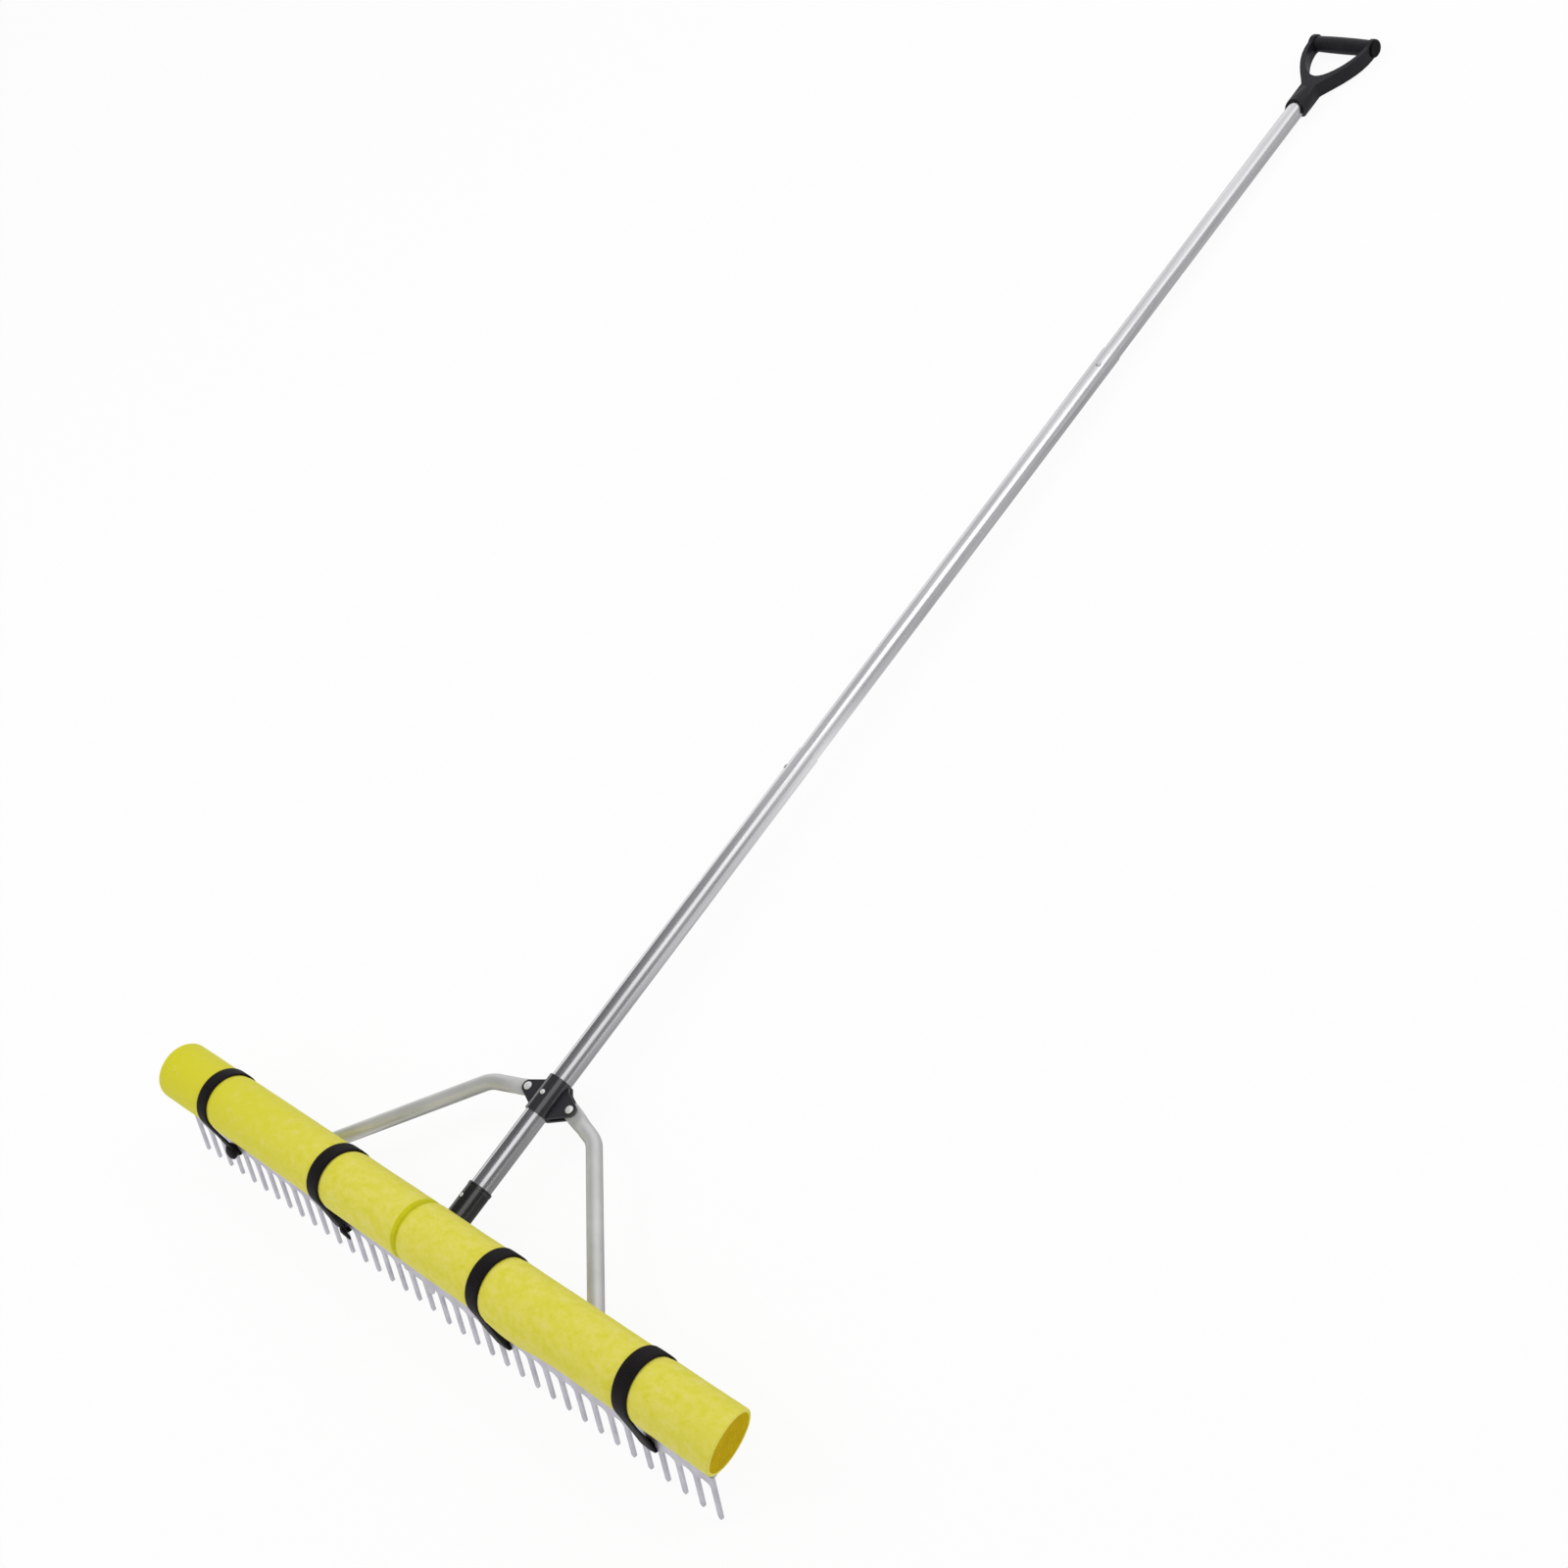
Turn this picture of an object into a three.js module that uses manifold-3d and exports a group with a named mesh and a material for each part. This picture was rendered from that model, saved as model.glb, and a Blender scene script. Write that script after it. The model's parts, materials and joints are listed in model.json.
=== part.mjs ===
// Floating lake rake: two lapped aluminium combs under a strapped foam float, on a telescopic pole.
// Millimetres. X runs along the head, Y along the pole to the handle, Z up. It lies on its tines and handle.
import * as THREE from "three";
import { mergeVertices } from "three/addons/utils/BufferGeometryUtils.js";
import Module from "manifold-3d";

const wasm = await Module();
wasm.setup();

// General clearances
const gap = 0.3; // between pieces that seat on each other
const slideGap = 0.2; // radial play of a tube that slides in another
const overrun = 2; // how far a cutter runs past what it cuts
const weldDistance = 0.0002; // vertices this close are one vertex

// Comb plates
const tinePitch = 25;
const leftTineCount = 19;
const rightTineCount = 18;
const centreTineGap = 33; // between the last left tine and the first right tine
const tineRootWidth = 6.4;
const tineTipWidth = 5.6;
const tineLength = 45;
const archRise = 5; // the scallop between two tines
const plateThickness = 3;
const webHeight = 11; // from the arch line to the bend
const flangeDepth = 26;
const bendRadius = 4;
const tineLeanDegrees = 24.5; // from square to the pole
const archLineDrop = 8.3; // arch line below the pole's axis
const lapHalfLength = 24; // the combs overlap this far each side of the middle
const gussetRootWidth = 20;
const gussetTipWidth = 8;
const gussetLength = 12;
const gussetPlace = 11; // right of the head's middle
const poleOffset = -8; // the pole's axis lies left of the head's middle

// Fasteners
const boltRadius = 3;
const boltHeadRadius = 5;
const boltHeadHeight = 3;
const boltTail = 1.6; // thread past the nut
const nutRadius = 5.6;
const nutHeight = 4.6;
const clampScrewRadius = 1.7;
const clampScrewHeadRadius = 3;
const clampScrewHeadHeight = 1.2;
const wingBoltHeadHeight = 2.2;

// Socket stub and ferrule
const stubLength = 152; // from the arch line to its top end
const stubWall = 1.2;
const stubRoundStart = 56; // round from here up
const stubFlatEnd = 34; // flattened from here down
const stubFlatStart = 5;
const stubFlatThickness = 3.4;
const stubFlatWidth = 36;
const stubBoreStart = 59;
const stubBoltSpread = 24; // between the two stub bolts
const railBoltPlace = 17; // bolts behind the arch line, along the pole
const ferruleStart = 57;
const ferruleLength = 53.6;
const ferruleWall = 1.2;
const ferruleLip = 5; // closed end against the tube
const ferruleRib = 0.4; // proud band at both ends
const ferruleRibLength = 4;
const ferruleWindowGap = 0.5; // round the hole for the button

// Pole tubes
const lowerOuterRadius = 12.7;
const tubeWall = 0.8;
const lowerEnd = 713.7; // from the arch line
const middleReach = 633.5; // out of the lower tube
const upperReach = 449.8; // out of the middle tube
const tubeOverlap = 110; // hidden in the next tube when pulled out
const footButtonReach = 35.5; // from the ferrule's start
const buttonSetback = 27; // from the outer tube's end
const lowerSpareStep = 164; // shorter setting of the middle tube
const upperSpareStep = 171.4; // second setting of the upper tube
const plugLength = 16;
const plugHeadLength = 3;
const plugWall = 2;
const footLockDegrees = 112; // round the pole, from +X towards +Z
const lowerLockDegrees = 136;
const upperLockDegrees = 72;
const spareLockDegrees = -45;

// Snap clips
const clipWidth = 8;
const clipThickness = 0.6;
const clipTail = 32; // from the button back to the fold
const clipFold = 1.3; // radius of the fold
const clipTip = 5; // leaf past the button
const rivetRadius = 1.5; // foot of the button in the leaf
const buttonRadius = 3;
const buttonProud = 1.5; // beyond the outer tube
const buttonDome = 1; // rounded height of that

// Brace clamp
const clampPlace = 229.6;
const clampLength = 45;
const saddleWall = 1.8; // round the tube
const wingThickness = 3;
const clampHalfSpan = 35.6; // middle to wing bolt
const wingLobeRadius = 8;
const wingLobeDegrees = 52; // each side of the wing's own line
const wingShoulderWidth = 19; // half width at the tube
const wingShoulderLength = 16; // half length at the shoulder
const clampSplitDrop = 4; // middle of the braces, below the pole's axis
const clampScrewDegrees = 86; // round the pole, from +X towards +Z
const clampGroove = 1;

// Braces
const braceRadius = 9;
const braceFlatThickness = 3.6;
const braceFlatWidth = 20;
const braceBendX = 88.9;
const braceBendY = 214.5;
const braceBendRadius = 34;
const braceEndX = 279.4;
const braceEndMargin = 9; // flat end past its bolt
const braceFlatLength = 42; // flat from the end
const braceBlendLength = 28; // from flat to round
const bracketFlatLength = 18;
const bracketBlendLength = 16;

// Float and straps
const floatRadius = 34.6;
const floatHalfLength = 472;
const floatShift = 6; // its seam lies right of the head's middle
const floatPlace = 34.6; // axis behind the arch line, along the pole
const floatSeam = 0.6;
const floatEdge = 2.4; // rounded ends
const floatGroove = 1; // pressed in under a strap
const strapWidth = 18;
const strapThickness = 2;
const strapInnerGapIndex = 4; // tine gaps from the comb's middle end
const strapOuterGapIndex = 13;
const strapCorner = 1.2; // how wide a strap turns at the rail

// Handle
const socketDepth = 26; // of the upper tube in the collar
const collarWall = 3.4;
const collarStraight = 12; // before it narrows
const collarTaper = 23;
const lipScallop = 7;
const neckHalfWidth = 10.8;
const neckHalfDepth = 9.6;
const neckLead = 15.8; // the arms part from the neck this far before the crotch
const crotchDepth = 66.2; // from the grip's axis to the crotch of the D
const gripReach = 95; // from the upper tube's end to the grip's axis
const yokeHalfWidth = 45.4;
const yokeArm = 5.2; // thickness of an arm
const armHalfDepth = 10;
const discRise = 1.6; // the arm's end disc beyond that
const gripRadius = 10.5;
const gripWaist = 0.7; // the grip narrows to its ends by this
const gripWall = 3;
const gripCapInset = 0.6; // smaller than the disc
const gripCapThickness = 2.4;
const gripCapEdge = 1.2;
const capSpigotLength = 12;
const handleScrewSetback = 7; // from the upper tube's end
const handleScrewRadius = 2;
const handleScrewHeadRadius = 3.6;
const handleScrewHeadHeight = 1.5;
const handleScrewFloor = 1.2; // plastic under its head
const handleScrewReach = 7; // in from that floor
const handleScrewDegrees = -90; // round the pole, from +X towards +Z

// Where the handle's curves are pulled to, as shares of the runs they join
const armStartShares = [0.18, 0.72]; // of the flare's width, of the lead
const armEndShares = [0.97, 0.54]; // of the flare's width, of the run to the shoulder
const crotchShares = [0.4, 0]; // of the opening's half width, of its run
const openingShares = [0.95, 0.54];
const gripProfileShares = [-1, -0.5, 0, 0.5, 1]; // along the half grip

// Facet counts
const tubeSides = 32;
const boltSides = 16;
const hexSides = 6;
const floatSides = 48;
const roundSteps = 5;
const braceSides = 16;
const strapSteps = 44;

const radians = THREE.MathUtils.degToRad;
const quarterTurn = Math.PI / 2;
const xAxis = new THREE.Vector3(1, 0, 0);
const yAxis = new THREE.Vector3(0, 1, 0);
const zAxis = new THREE.Vector3(0, 0, 1);

// Sizes that follow from those above
const lean = radians(tineLeanDegrees);
const tineUp = new THREE.Vector3(0, Math.sin(lean), Math.cos(lean));
const plateBack = new THREE.Vector3(0, Math.cos(lean), -Math.sin(lean));
const stackStep = plateThickness + gap;
const lapDrop = stackStep / 2;
const lapForward = (lapDrop * (1 - Math.sin(lean))) / Math.cos(lean);
const flangeHeight = webHeight * Math.cos(lean) - archLineDrop;
const bendY = webHeight * Math.sin(lean);
const combHalfSpan = ((leftTineCount + rightTineCount - 2) * tinePitch + centreTineGap) / 2;
const lowerBore = lowerOuterRadius - tubeWall;
const middleOuterRadius = lowerBore - slideGap;
const middleBore = middleOuterRadius - tubeWall;
const upperOuterRadius = middleBore - slideGap;
const upperBore = upperOuterRadius - tubeWall;
const buttonHoleRadius = buttonRadius + gap;
const ferruleOuterRadius = lowerOuterRadius + gap + ferruleWall;
const ferruleEnd = ferruleStart + ferruleLength;
const ferruleWindowRadius = buttonHoleRadius + ferruleWindowGap;
const lowerStart = ferruleStart + ferruleLip + gap;
const middleEnd = lowerEnd + middleReach;
const upperEnd = middleEnd + upperReach;
const footButtonPlace = ferruleStart + footButtonReach;
const lowerButtonPlace = lowerEnd - buttonSetback;
const lowerSpareHole = lowerButtonPlace - lowerSpareStep;
const upperButtonPlace = middleEnd - buttonSetback;
const upperSpareHole = upperButtonPlace + upperSpareStep;
const clampSplit = -clampSplitDrop;
const lipPlace = upperEnd - socketDepth;
const gripPlace = upperEnd + gripReach;
const openingStart = gripPlace - crotchDepth;
const neckEnd = openingStart - neckLead;
const neckStart = lipPlace + collarStraight + collarTaper;
const collarRadius = upperOuterRadius + gap + collarWall;
const yokeShoulder = gripPlace - gripRadius; // the arms run straight from here past the grip
const yokeDiscRadius = armHalfDepth + discRise;
const gripCapRadius = yokeDiscRadius - gripCapInset;
const handleScrewPlace = upperEnd - handleScrewSetback;
const handleScrewSeat = upperOuterRadius + gap + handleScrewFloor; // floor of its counterbore, from the axis
const stubRadius = lowerBore - gap;
const stubBore = stubRadius - stubWall;
const middleStart = lowerEnd - tubeOverlap;
const upperStart = middleEnd - tubeOverlap;
const floatHeight = stubRadius + gap + floatRadius;
const flangeTopRight = flangeHeight + lapDrop + plateThickness / 2;
const flangeTopLeft = flangeTopRight - stackStep;
const flangeBottomLeft = flangeTopLeft - plateThickness;
const stubFlatHeight = flangeTopRight + gap + stubFlatThickness / 2;

// Materials, one for each finish
const finishes = {
  cutAluminium: { color: 0xc9cacd, roughness: 0.42, metalness: 0.9 },
  drawnAluminium: { color: 0xb9babd, roughness: 0.28, metalness: 1 },
  greyTube: { color: 0xb8b8bc, roughness: 0.5, metalness: 0.6 },
  blackPlastic: { color: 0x1d1b1f, roughness: 0.55, metalness: 0 },
  charcoalPlastic: { color: 0x2f2d33, roughness: 0.5, metalness: 0 },
  yellowFoam: { color: 0xe3dc4e, roughness: 0.85, metalness: 0 },
  blackWebbing: { color: 0x1c1720, roughness: 0.9, metalness: 0 },
  zincSteel: { color: 0xd0d2d6, roughness: 0.35, metalness: 1 },
  springSteel: { color: 0x8e9094, roughness: 0.3, metalness: 1 },
};

// A closed geometry as a solid that can be joined and cut.
function solid(geometry) {
  const bare = geometry.index ? geometry.toNonIndexed() : geometry.clone();
  bare.deleteAttribute("normal");
  bare.deleteAttribute("uv");
  const welded = mergeVertices(bare, weldDistance);
  return new wasm.Manifold(
    new wasm.Mesh({
      numProp: 3,
      vertProperties: new Float32Array(welded.attributes.position.array),
      triVerts: new Uint32Array(welded.index.array),
    }),
  );
}

// A joined or cut solid as a geometry with flat facets.
function geometryOf(made) {
  const mesh = made.getMesh();
  const places = new Float32Array(mesh.numVert * 3);
  for (let i = 0; i < mesh.numVert; i++) {
    places.set(mesh.vertProperties.subarray(i * mesh.numProp, i * mesh.numProp + 3), i * 3);
  }
  const geometry = new THREE.BufferGeometry();
  geometry.setAttribute("position", new THREE.BufferAttribute(places, 3));
  geometry.setIndex(new THREE.BufferAttribute(new Uint32Array(mesh.triVerts), 1));
  geometry.computeVertexNormals();
  return geometry;
}

function joined(...geometries) {
  return geometryOf(geometries.map(solid).reduce((sum, next) => sum.add(next)));
}

function cut(geometry, ...cutters) {
  return geometryOf(cutters.map(solid).reduce((rest, next) => rest.subtract(next), solid(geometry)));
}

function common(geometry, other) {
  return geometryOf(solid(geometry).intersect(solid(other)));
}

function piece(name, geometry, finish) {
  const mesh = new THREE.Mesh(geometry, new THREE.MeshStandardMaterial(finishes[finish]));
  mesh.name = name;
  return mesh;
}

// A body turned round the Y axis from [radius, place] pairs, given anticlockwise.
function turned(pairs, sides = tubeSides) {
  const points = pairs.map(([radius, place]) => new THREE.Vector2(radius, place));
  return new THREE.LatheGeometry(points, sides);
}

function tube(outer, inner, from, to, sides = tubeSides) {
  const loop = [[outer, from], [outer, to], [inner, to], [inner, from], [outer, from]];
  return turned(loop, sides);
}

function rod(radius, from, to, sides = boltSides) {
  return turned([[0, from], [radius, from], [radius, to], [0, to]], sides);
}

// A rod along Z instead of Y, at x and y.
function upright(geometry, x, y) {
  return geometry.rotateX(quarterTurn).translate(x, y, 0);
}

// Turns a body built towards +Z round the pole, to an angle from +X towards +Z.
function roundPole(geometry, degrees) {
  return geometry.rotateY(quarterTurn - radians(degrees));
}

// A radial hole cutter through one side of a tube, at a place along the pole.
function sideHole(radius, place, degrees, reach = lowerOuterRadius + overrun) {
  return roundPole(upright(rod(radius, 0, reach), 0, place), degrees);
}

// A slab from an outline in the XY plane, between two heights.
function slab(outline, low, high, steps = roundSteps) {
  const options = { depth: high - low, bevelEnabled: false, curveSegments: steps };
  return new THREE.ExtrudeGeometry(outline, options).translate(0, 0, low);
}

// A bar with its section in the YZ plane, between two places along X.
function bar(section, from, to, steps = roundSteps) {
  const basis = new THREE.Matrix4().makeBasis(yAxis, zAxis, xAxis);
  const options = { depth: to - from, bevelEnabled: false, curveSegments: steps };
  return new THREE.ExtrudeGeometry(section, options).applyMatrix4(basis).translate(from, 0, 0);
}

function shapeOf(pairs) {
  return new THREE.Shape(pairs.map(([a, b]) => new THREE.Vector2(a, b)));
}

// Points along an ellipse's arc between two angles, ends left out where asked.
function arcPoints(cx, cy, rx, ry, start, end, steps, skip = 0) {
  const found = [];
  for (let i = skip; i <= steps - skip; i++) {
    const angle = start + ((end - start) * i) / steps;
    found.push([cx + rx * Math.cos(angle), cy + ry * Math.sin(angle)]);
  }
  return found;
}

// A skin over closed rings of equal count, with both ends capped.
function loft(rings) {
  const count = rings[0].length;
  const places = rings.flat().flatMap((p) => [p.x, p.y, p.z]);
  const faces = [];
  for (let r = 0; r + 1 < rings.length; r++) {
    for (let i = 0; i < count; i++) {
      const a = r * count + i;
      const b = r * count + ((i + 1) % count);
      faces.push(a, b, b + count, a, b + count, a + count);
    }
  }
  const last = (rings.length - 1) * count;
  for (let i = 1; i + 1 < count; i++) {
    faces.push(0, i + 1, i, last, last + i, last + i + 1);
  }
  const geometry = new THREE.BufferGeometry();
  geometry.setAttribute("position", new THREE.Float32BufferAttribute(places, 3));
  geometry.setIndex(faces);
  return geometry;
}

// One ring of a flattened tube: an ellipse square to a level direction, at a point.
function flatRing(point, direction, halfWidth, halfHeight, sides) {
  const across = new THREE.Vector3().crossVectors(zAxis, direction).normalize();
  const ring = [];
  for (let i = 0; i < sides; i++) {
    const angle = (2 * Math.PI * i) / sides;
    const place = point.clone().addScaledVector(across, halfWidth * Math.cos(angle));
    place.z += halfHeight * Math.sin(angle);
    ring.push(place);
  }
  return ring;
}

function along(from, to, share) {
  return from + (to - from) * share;
}

function smooth(share) {
  const held = Math.min(1, Math.max(0, share));
  return held * held * (3 - 2 * held);
}

// Comb: tines, web and flange of one folded plate
function tineOutline(places, railFrom, railTo, gusset) {
  const root = tineRootWidth / 2;
  const tip = tineTipWidth / 2;
  const points = [[railFrom, webHeight], [railFrom, 0]];
  if (gusset) {
    const tipStart = tip - gussetLength;
    points.push([gussetPlace - gussetRootWidth / 2, 0]);
    const halfTip = gussetTipWidth / 2;
    points.push(...arcPoints(gussetPlace, tipStart, halfTip, tip, Math.PI, 2 * Math.PI, roundSteps));
    points.push([gussetPlace + gussetRootWidth / 2, 0]);
  }
  places.forEach((x, i) => {
    const before = i ? (x - places[i - 1]) / 2 : (x - railFrom) / 2 + root / 2;
    const after = i + 1 < places.length ? (places[i + 1] - x) / 2 : 0;
    if (i === 0 && x - root > railFrom) {
      points.push([x - root - archRise, 0]);
      const arch = [x - root - archRise, -archRise, archRise, archRise];
      points.push(...arcPoints(...arch, quarterTurn, 0, roundSteps, 1));
    }
    if (before > root || i > 0 || x - root > railFrom) {
      points.push([x - root, -archRise]);
    }
    points.push(...arcPoints(x, tip - tineLength, tip, tip, Math.PI, 2 * Math.PI, roundSteps));
    if (after) {
      points.push([x + root, -archRise]);
      points.push(...arcPoints(x + after, -archRise, after - root, archRise, Math.PI, 0, roundSteps + 1, 1));
    }
  });
  const end = places[places.length - 1] + root;
  if (railTo > end) {
    points.push([end, -archRise]);
    const arch = [end + archRise, -archRise, archRise, archRise];
    points.push(...arcPoints(...arch, Math.PI, quarterTurn, roundSteps, 1));
    points.push([end + archRise, 0]);
  }
  points.push([railTo, 0], [railTo, webHeight]);
  return shapeOf(points);
}

// The folded section, from halfway up the web to the flange's edge.
function railSection() {
  const base = new THREE.Vector2(0, -archLineDrop);
  const alongUp = new THREE.Vector2(tineUp.y, tineUp.z);
  const alongBack = new THREE.Vector2(plateBack.y, plateBack.z);
  const half = plateThickness / 2;
  const face = (side, height) => {
    const rise = (height + archLineDrop - side * half * alongBack.y) / alongUp.y;
    return base.clone().addScaledVector(alongBack, side * half).addScaledVector(alongUp, rise);
  };
  const front = face(-1, flangeHeight + half);
  const rear = face(1, flangeHeight - half);
  const startFront = face(-1, flangeHeight / 2 - archLineDrop / 2);
  const startRear = face(1, flangeHeight / 2 - archLineDrop / 2);
  const edge = bendY + flangeDepth;
  const corner = new THREE.QuadraticBezierCurve(
    front.clone().addScaledVector(alongUp, -bendRadius),
    front,
    new THREE.Vector2(front.x + bendRadius, front.y),
  );
  const shape = new THREE.Shape([startRear, startFront, ...corner.getPoints(roundSteps - 1)]);
  shape.lineTo(edge, flangeHeight + half);
  shape.lineTo(edge, flangeHeight - half);
  shape.lineTo(rear.x, rear.y);
  return shape;
}

// A comb plate, lapped half a step to the front or to the back of the head's middle plane.
function comb(name, places, railFrom, railTo, front) {
  const basis = new THREE.Matrix4().makeBasis(xAxis, tineUp, plateBack.clone().negate());
  const options = { depth: plateThickness, bevelEnabled: false };
  const outline = tineOutline(places, railFrom, railTo, front);
  const plate = new THREE.ExtrudeGeometry(outline, options).applyMatrix4(basis);
  plate.translate(0, 0, -archLineDrop);
  plate.translate(0, (plateBack.y * plateThickness) / 2, (plateBack.z * plateThickness) / 2);
  const folded = joined(plate, bar(railSection(), railFrom, railTo));
  const side = front ? 1 : -1;
  const holes = [...stubBoltPlaces(), side * braceEndX].map((x) =>
    upright(rod(boltRadius + gap, -flangeDepth, flangeDepth), x, railBoltPlace),
  );
  folded.translate(0, -side * lapForward, side * lapDrop);
  return piece(name, cut(folded, ...holes), "cutAluminium");
}

// The two bolts through the stub and both flanges, each side of the pole.
function stubBoltPlaces() {
  return [poleOffset - stubBoltSpread / 2, poleOffset + stubBoltSpread / 2];
}

function tinePlaces(first, count) {
  return Array.from({ length: count }, (_, i) => first + i * tinePitch);
}

// Fasteners stand along Z, with the head's underside at height zero.
function boltBody(grip, headRadius, headHeight, shankRadius, tail) {
  const crown = arcPoints(0, 0, headRadius, headHeight, 0, quarterTurn, roundSteps, 1);
  const profile = [[0, -grip - tail], [shankRadius, -grip - tail], [shankRadius, 0], [headRadius, 0]];
  profile.push(...crown, [0, headHeight]);
  return turned(profile, boltSides).rotateX(quarterTurn);
}

function nutBody(radius, height, bore) {
  const hexagon = rod(radius, -height, 0, hexSides).rotateX(quarterTurn);
  return cut(hexagon, rod(bore, -height - overrun, overrun).rotateX(quarterTurn));
}

function railBolt(name, x, top, bottom) {
  const grip = top - bottom + 2 * gap + nutHeight;
  const body = boltBody(grip, boltHeadRadius, boltHeadHeight, boltRadius, boltTail);
  const bolt = piece(name, body, "zincSteel");
  bolt.position.set(x, railBoltPlace, top + gap);
  return bolt;
}

function railNut(name, x, bottom) {
  const nut = piece(name, nutBody(nutRadius, nutHeight, boltRadius + gap), "zincSteel");
  nut.position.set(x, railBoltPlace, bottom - gap);
  return nut;
}

// Socket stub: a round tube, hammered flat where it is bolted on the lapped flanges
function socketStub() {
  const rings = [];
  const steps = 2 * roundSteps;
  const ring = (y, share) => {
    const halfWidth = stubRadius + (stubFlatWidth / 2 - stubRadius) * share;
    const halfHeight = stubRadius + (stubFlatThickness / 2 - stubRadius) * share;
    const point = new THREE.Vector3(0, y, stubFlatHeight * share);
    return flatRing(point, yAxis, halfWidth, halfHeight, tubeSides);
  };
  rings.push(ring(stubFlatStart, 1));
  for (let i = 0; i <= steps; i++) {
    const y = stubFlatEnd + ((stubRoundStart - stubFlatEnd) * i) / steps;
    rings.push(ring(y, 1 - smooth(i / steps)));
  }
  rings.push(ring(stubLength, 0));
  const flatLow = stubFlatHeight - stubFlatThickness / 2;
  const flatHigh = stubFlatHeight + stubFlatThickness / 2;
  const tongue = new THREE.Shape();
  const halfTongue = stubBoltSpread / 2 + boltHeadRadius;
  tongue.moveTo(-halfTongue, stubFlatStart);
  tongue.lineTo(halfTongue, stubFlatStart);
  tongue.lineTo(halfTongue, stubFlatEnd);
  tongue.lineTo(-halfTongue, stubFlatEnd);
  const body = joined(loft(rings), slab(tongue, flatLow, flatHigh));
  const bolts = [-stubBoltSpread / 2, stubBoltSpread / 2].map((x) =>
    upright(rod(boltRadius + gap, -stubLength, stubLength), x, railBoltPlace),
  );
  const bore = rod(stubBore, stubBoreStart, stubLength + overrun, tubeSides);
  const hole = sideHole(buttonHoleRadius, footButtonPlace, footLockDegrees);
  const stub = piece("socket_stub", cut(body, bore, hole, ...bolts), "greyTube");
  stub.position.x = poleOffset;
  return stub;
}

function ferrule() {
  const inner = lowerOuterRadius + gap;
  const outer = ferruleOuterRadius;
  const proud = outer + ferruleRib;
  const body = turned([
    [proud, ferruleStart],
    [proud, ferruleStart + ferruleRibLength],
    [outer, ferruleStart + ferruleRibLength + ferruleRib],
    [outer, ferruleEnd - ferruleRibLength - ferruleRib],
    [proud, ferruleEnd - ferruleRibLength],
    [proud, ferruleEnd - ferruleRib],
    [outer, ferruleEnd],
    [inner, ferruleEnd],
    [inner, ferruleStart + ferruleLip],
    [stubRadius + gap, ferruleStart + ferruleLip],
    [stubRadius + gap, ferruleStart],
    [proud, ferruleStart],
  ]);
  const window = sideHole(ferruleWindowRadius, footButtonPlace, footLockDegrees, outer + overrun);
  return piece("ferrule", cut(body, window), "blackPlastic");
}

function lowerTube() {
  const body = tube(lowerOuterRadius, lowerBore, lowerStart, lowerEnd);
  const holes = [lowerSpareHole, lowerButtonPlace].map((place) =>
    sideHole(buttonHoleRadius, place, lowerLockDegrees),
  );
  holes.push(sideHole(buttonHoleRadius, footButtonPlace, footLockDegrees));
  holes.push(sideHole(clampScrewRadius + gap, clampPlace, clampScrewDegrees));
  return piece("lower_tube", cut(body, ...holes), "drawnAluminium");
}

function middleTube() {
  const body = tube(middleOuterRadius, middleBore, middleStart, middleEnd);
  const holes = [
    sideHole(buttonHoleRadius, lowerButtonPlace, lowerLockDegrees),
    sideHole(buttonHoleRadius, upperButtonPlace, upperLockDegrees),
  ];
  return piece("middle_tube", cut(body, ...holes), "drawnAluminium");
}

function upperTube() {
  const body = tube(upperOuterRadius, upperBore, upperStart, upperEnd);
  const holes = [
    sideHole(buttonHoleRadius, upperButtonPlace, upperLockDegrees),
    sideHole(buttonHoleRadius, upperSpareHole, spareLockDegrees),
    sideHole(handleScrewRadius + gap, handleScrewPlace, handleScrewDegrees),
  ];
  return piece("upper_tube", cut(body, ...holes), "drawnAluminium");
}

// A plastic end that fills the foot of a sliding tube.
function endPlug(name, outer, bore, start) {
  const spigot = bore - gap;
  const hollow = spigot - plugWall;
  const head = start - gap - plugHeadLength;
  const body = turned([
    [outer, head],
    [outer, start - gap],
    [spigot, start - gap],
    [spigot, start + plugLength],
    [hollow, start + plugLength],
    [hollow, head],
    [outer, head],
  ]);
  return piece(name, body, "blackPlastic");
}

// A strip of even thickness along a centre line of [place, height] pairs, with a level width.
function strip(points, thickness, width) {
  const line = points.map(([y, z]) => new THREE.Vector2(y, z));
  const normals = line.slice(1).map((p, i) => {
    const along = p.clone().sub(line[i]).normalize();
    return new THREE.Vector2(-along.y, along.x);
  });
  const offset = (side) =>
    line.map((p, i) => {
      const before = normals[Math.max(0, i - 1)];
      const after = normals[Math.min(normals.length - 1, i)];
      const mitre = before.clone().add(after).normalize();
      return p.clone().addScaledVector(mitre, (side * thickness) / 2 / mitre.dot(after));
    });
  const outline = new THREE.Shape([...offset(1).reverse(), ...offset(-1)]);
  return bar(outline, -width / 2, width / 2);
}

// Sets a clip's piece round the pole and at its place along it.
function placedOnPole(part, place, degrees) {
  part.rotation.y = quarterTurn - radians(degrees);
  part.position.y = place;
  return part;
}

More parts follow.
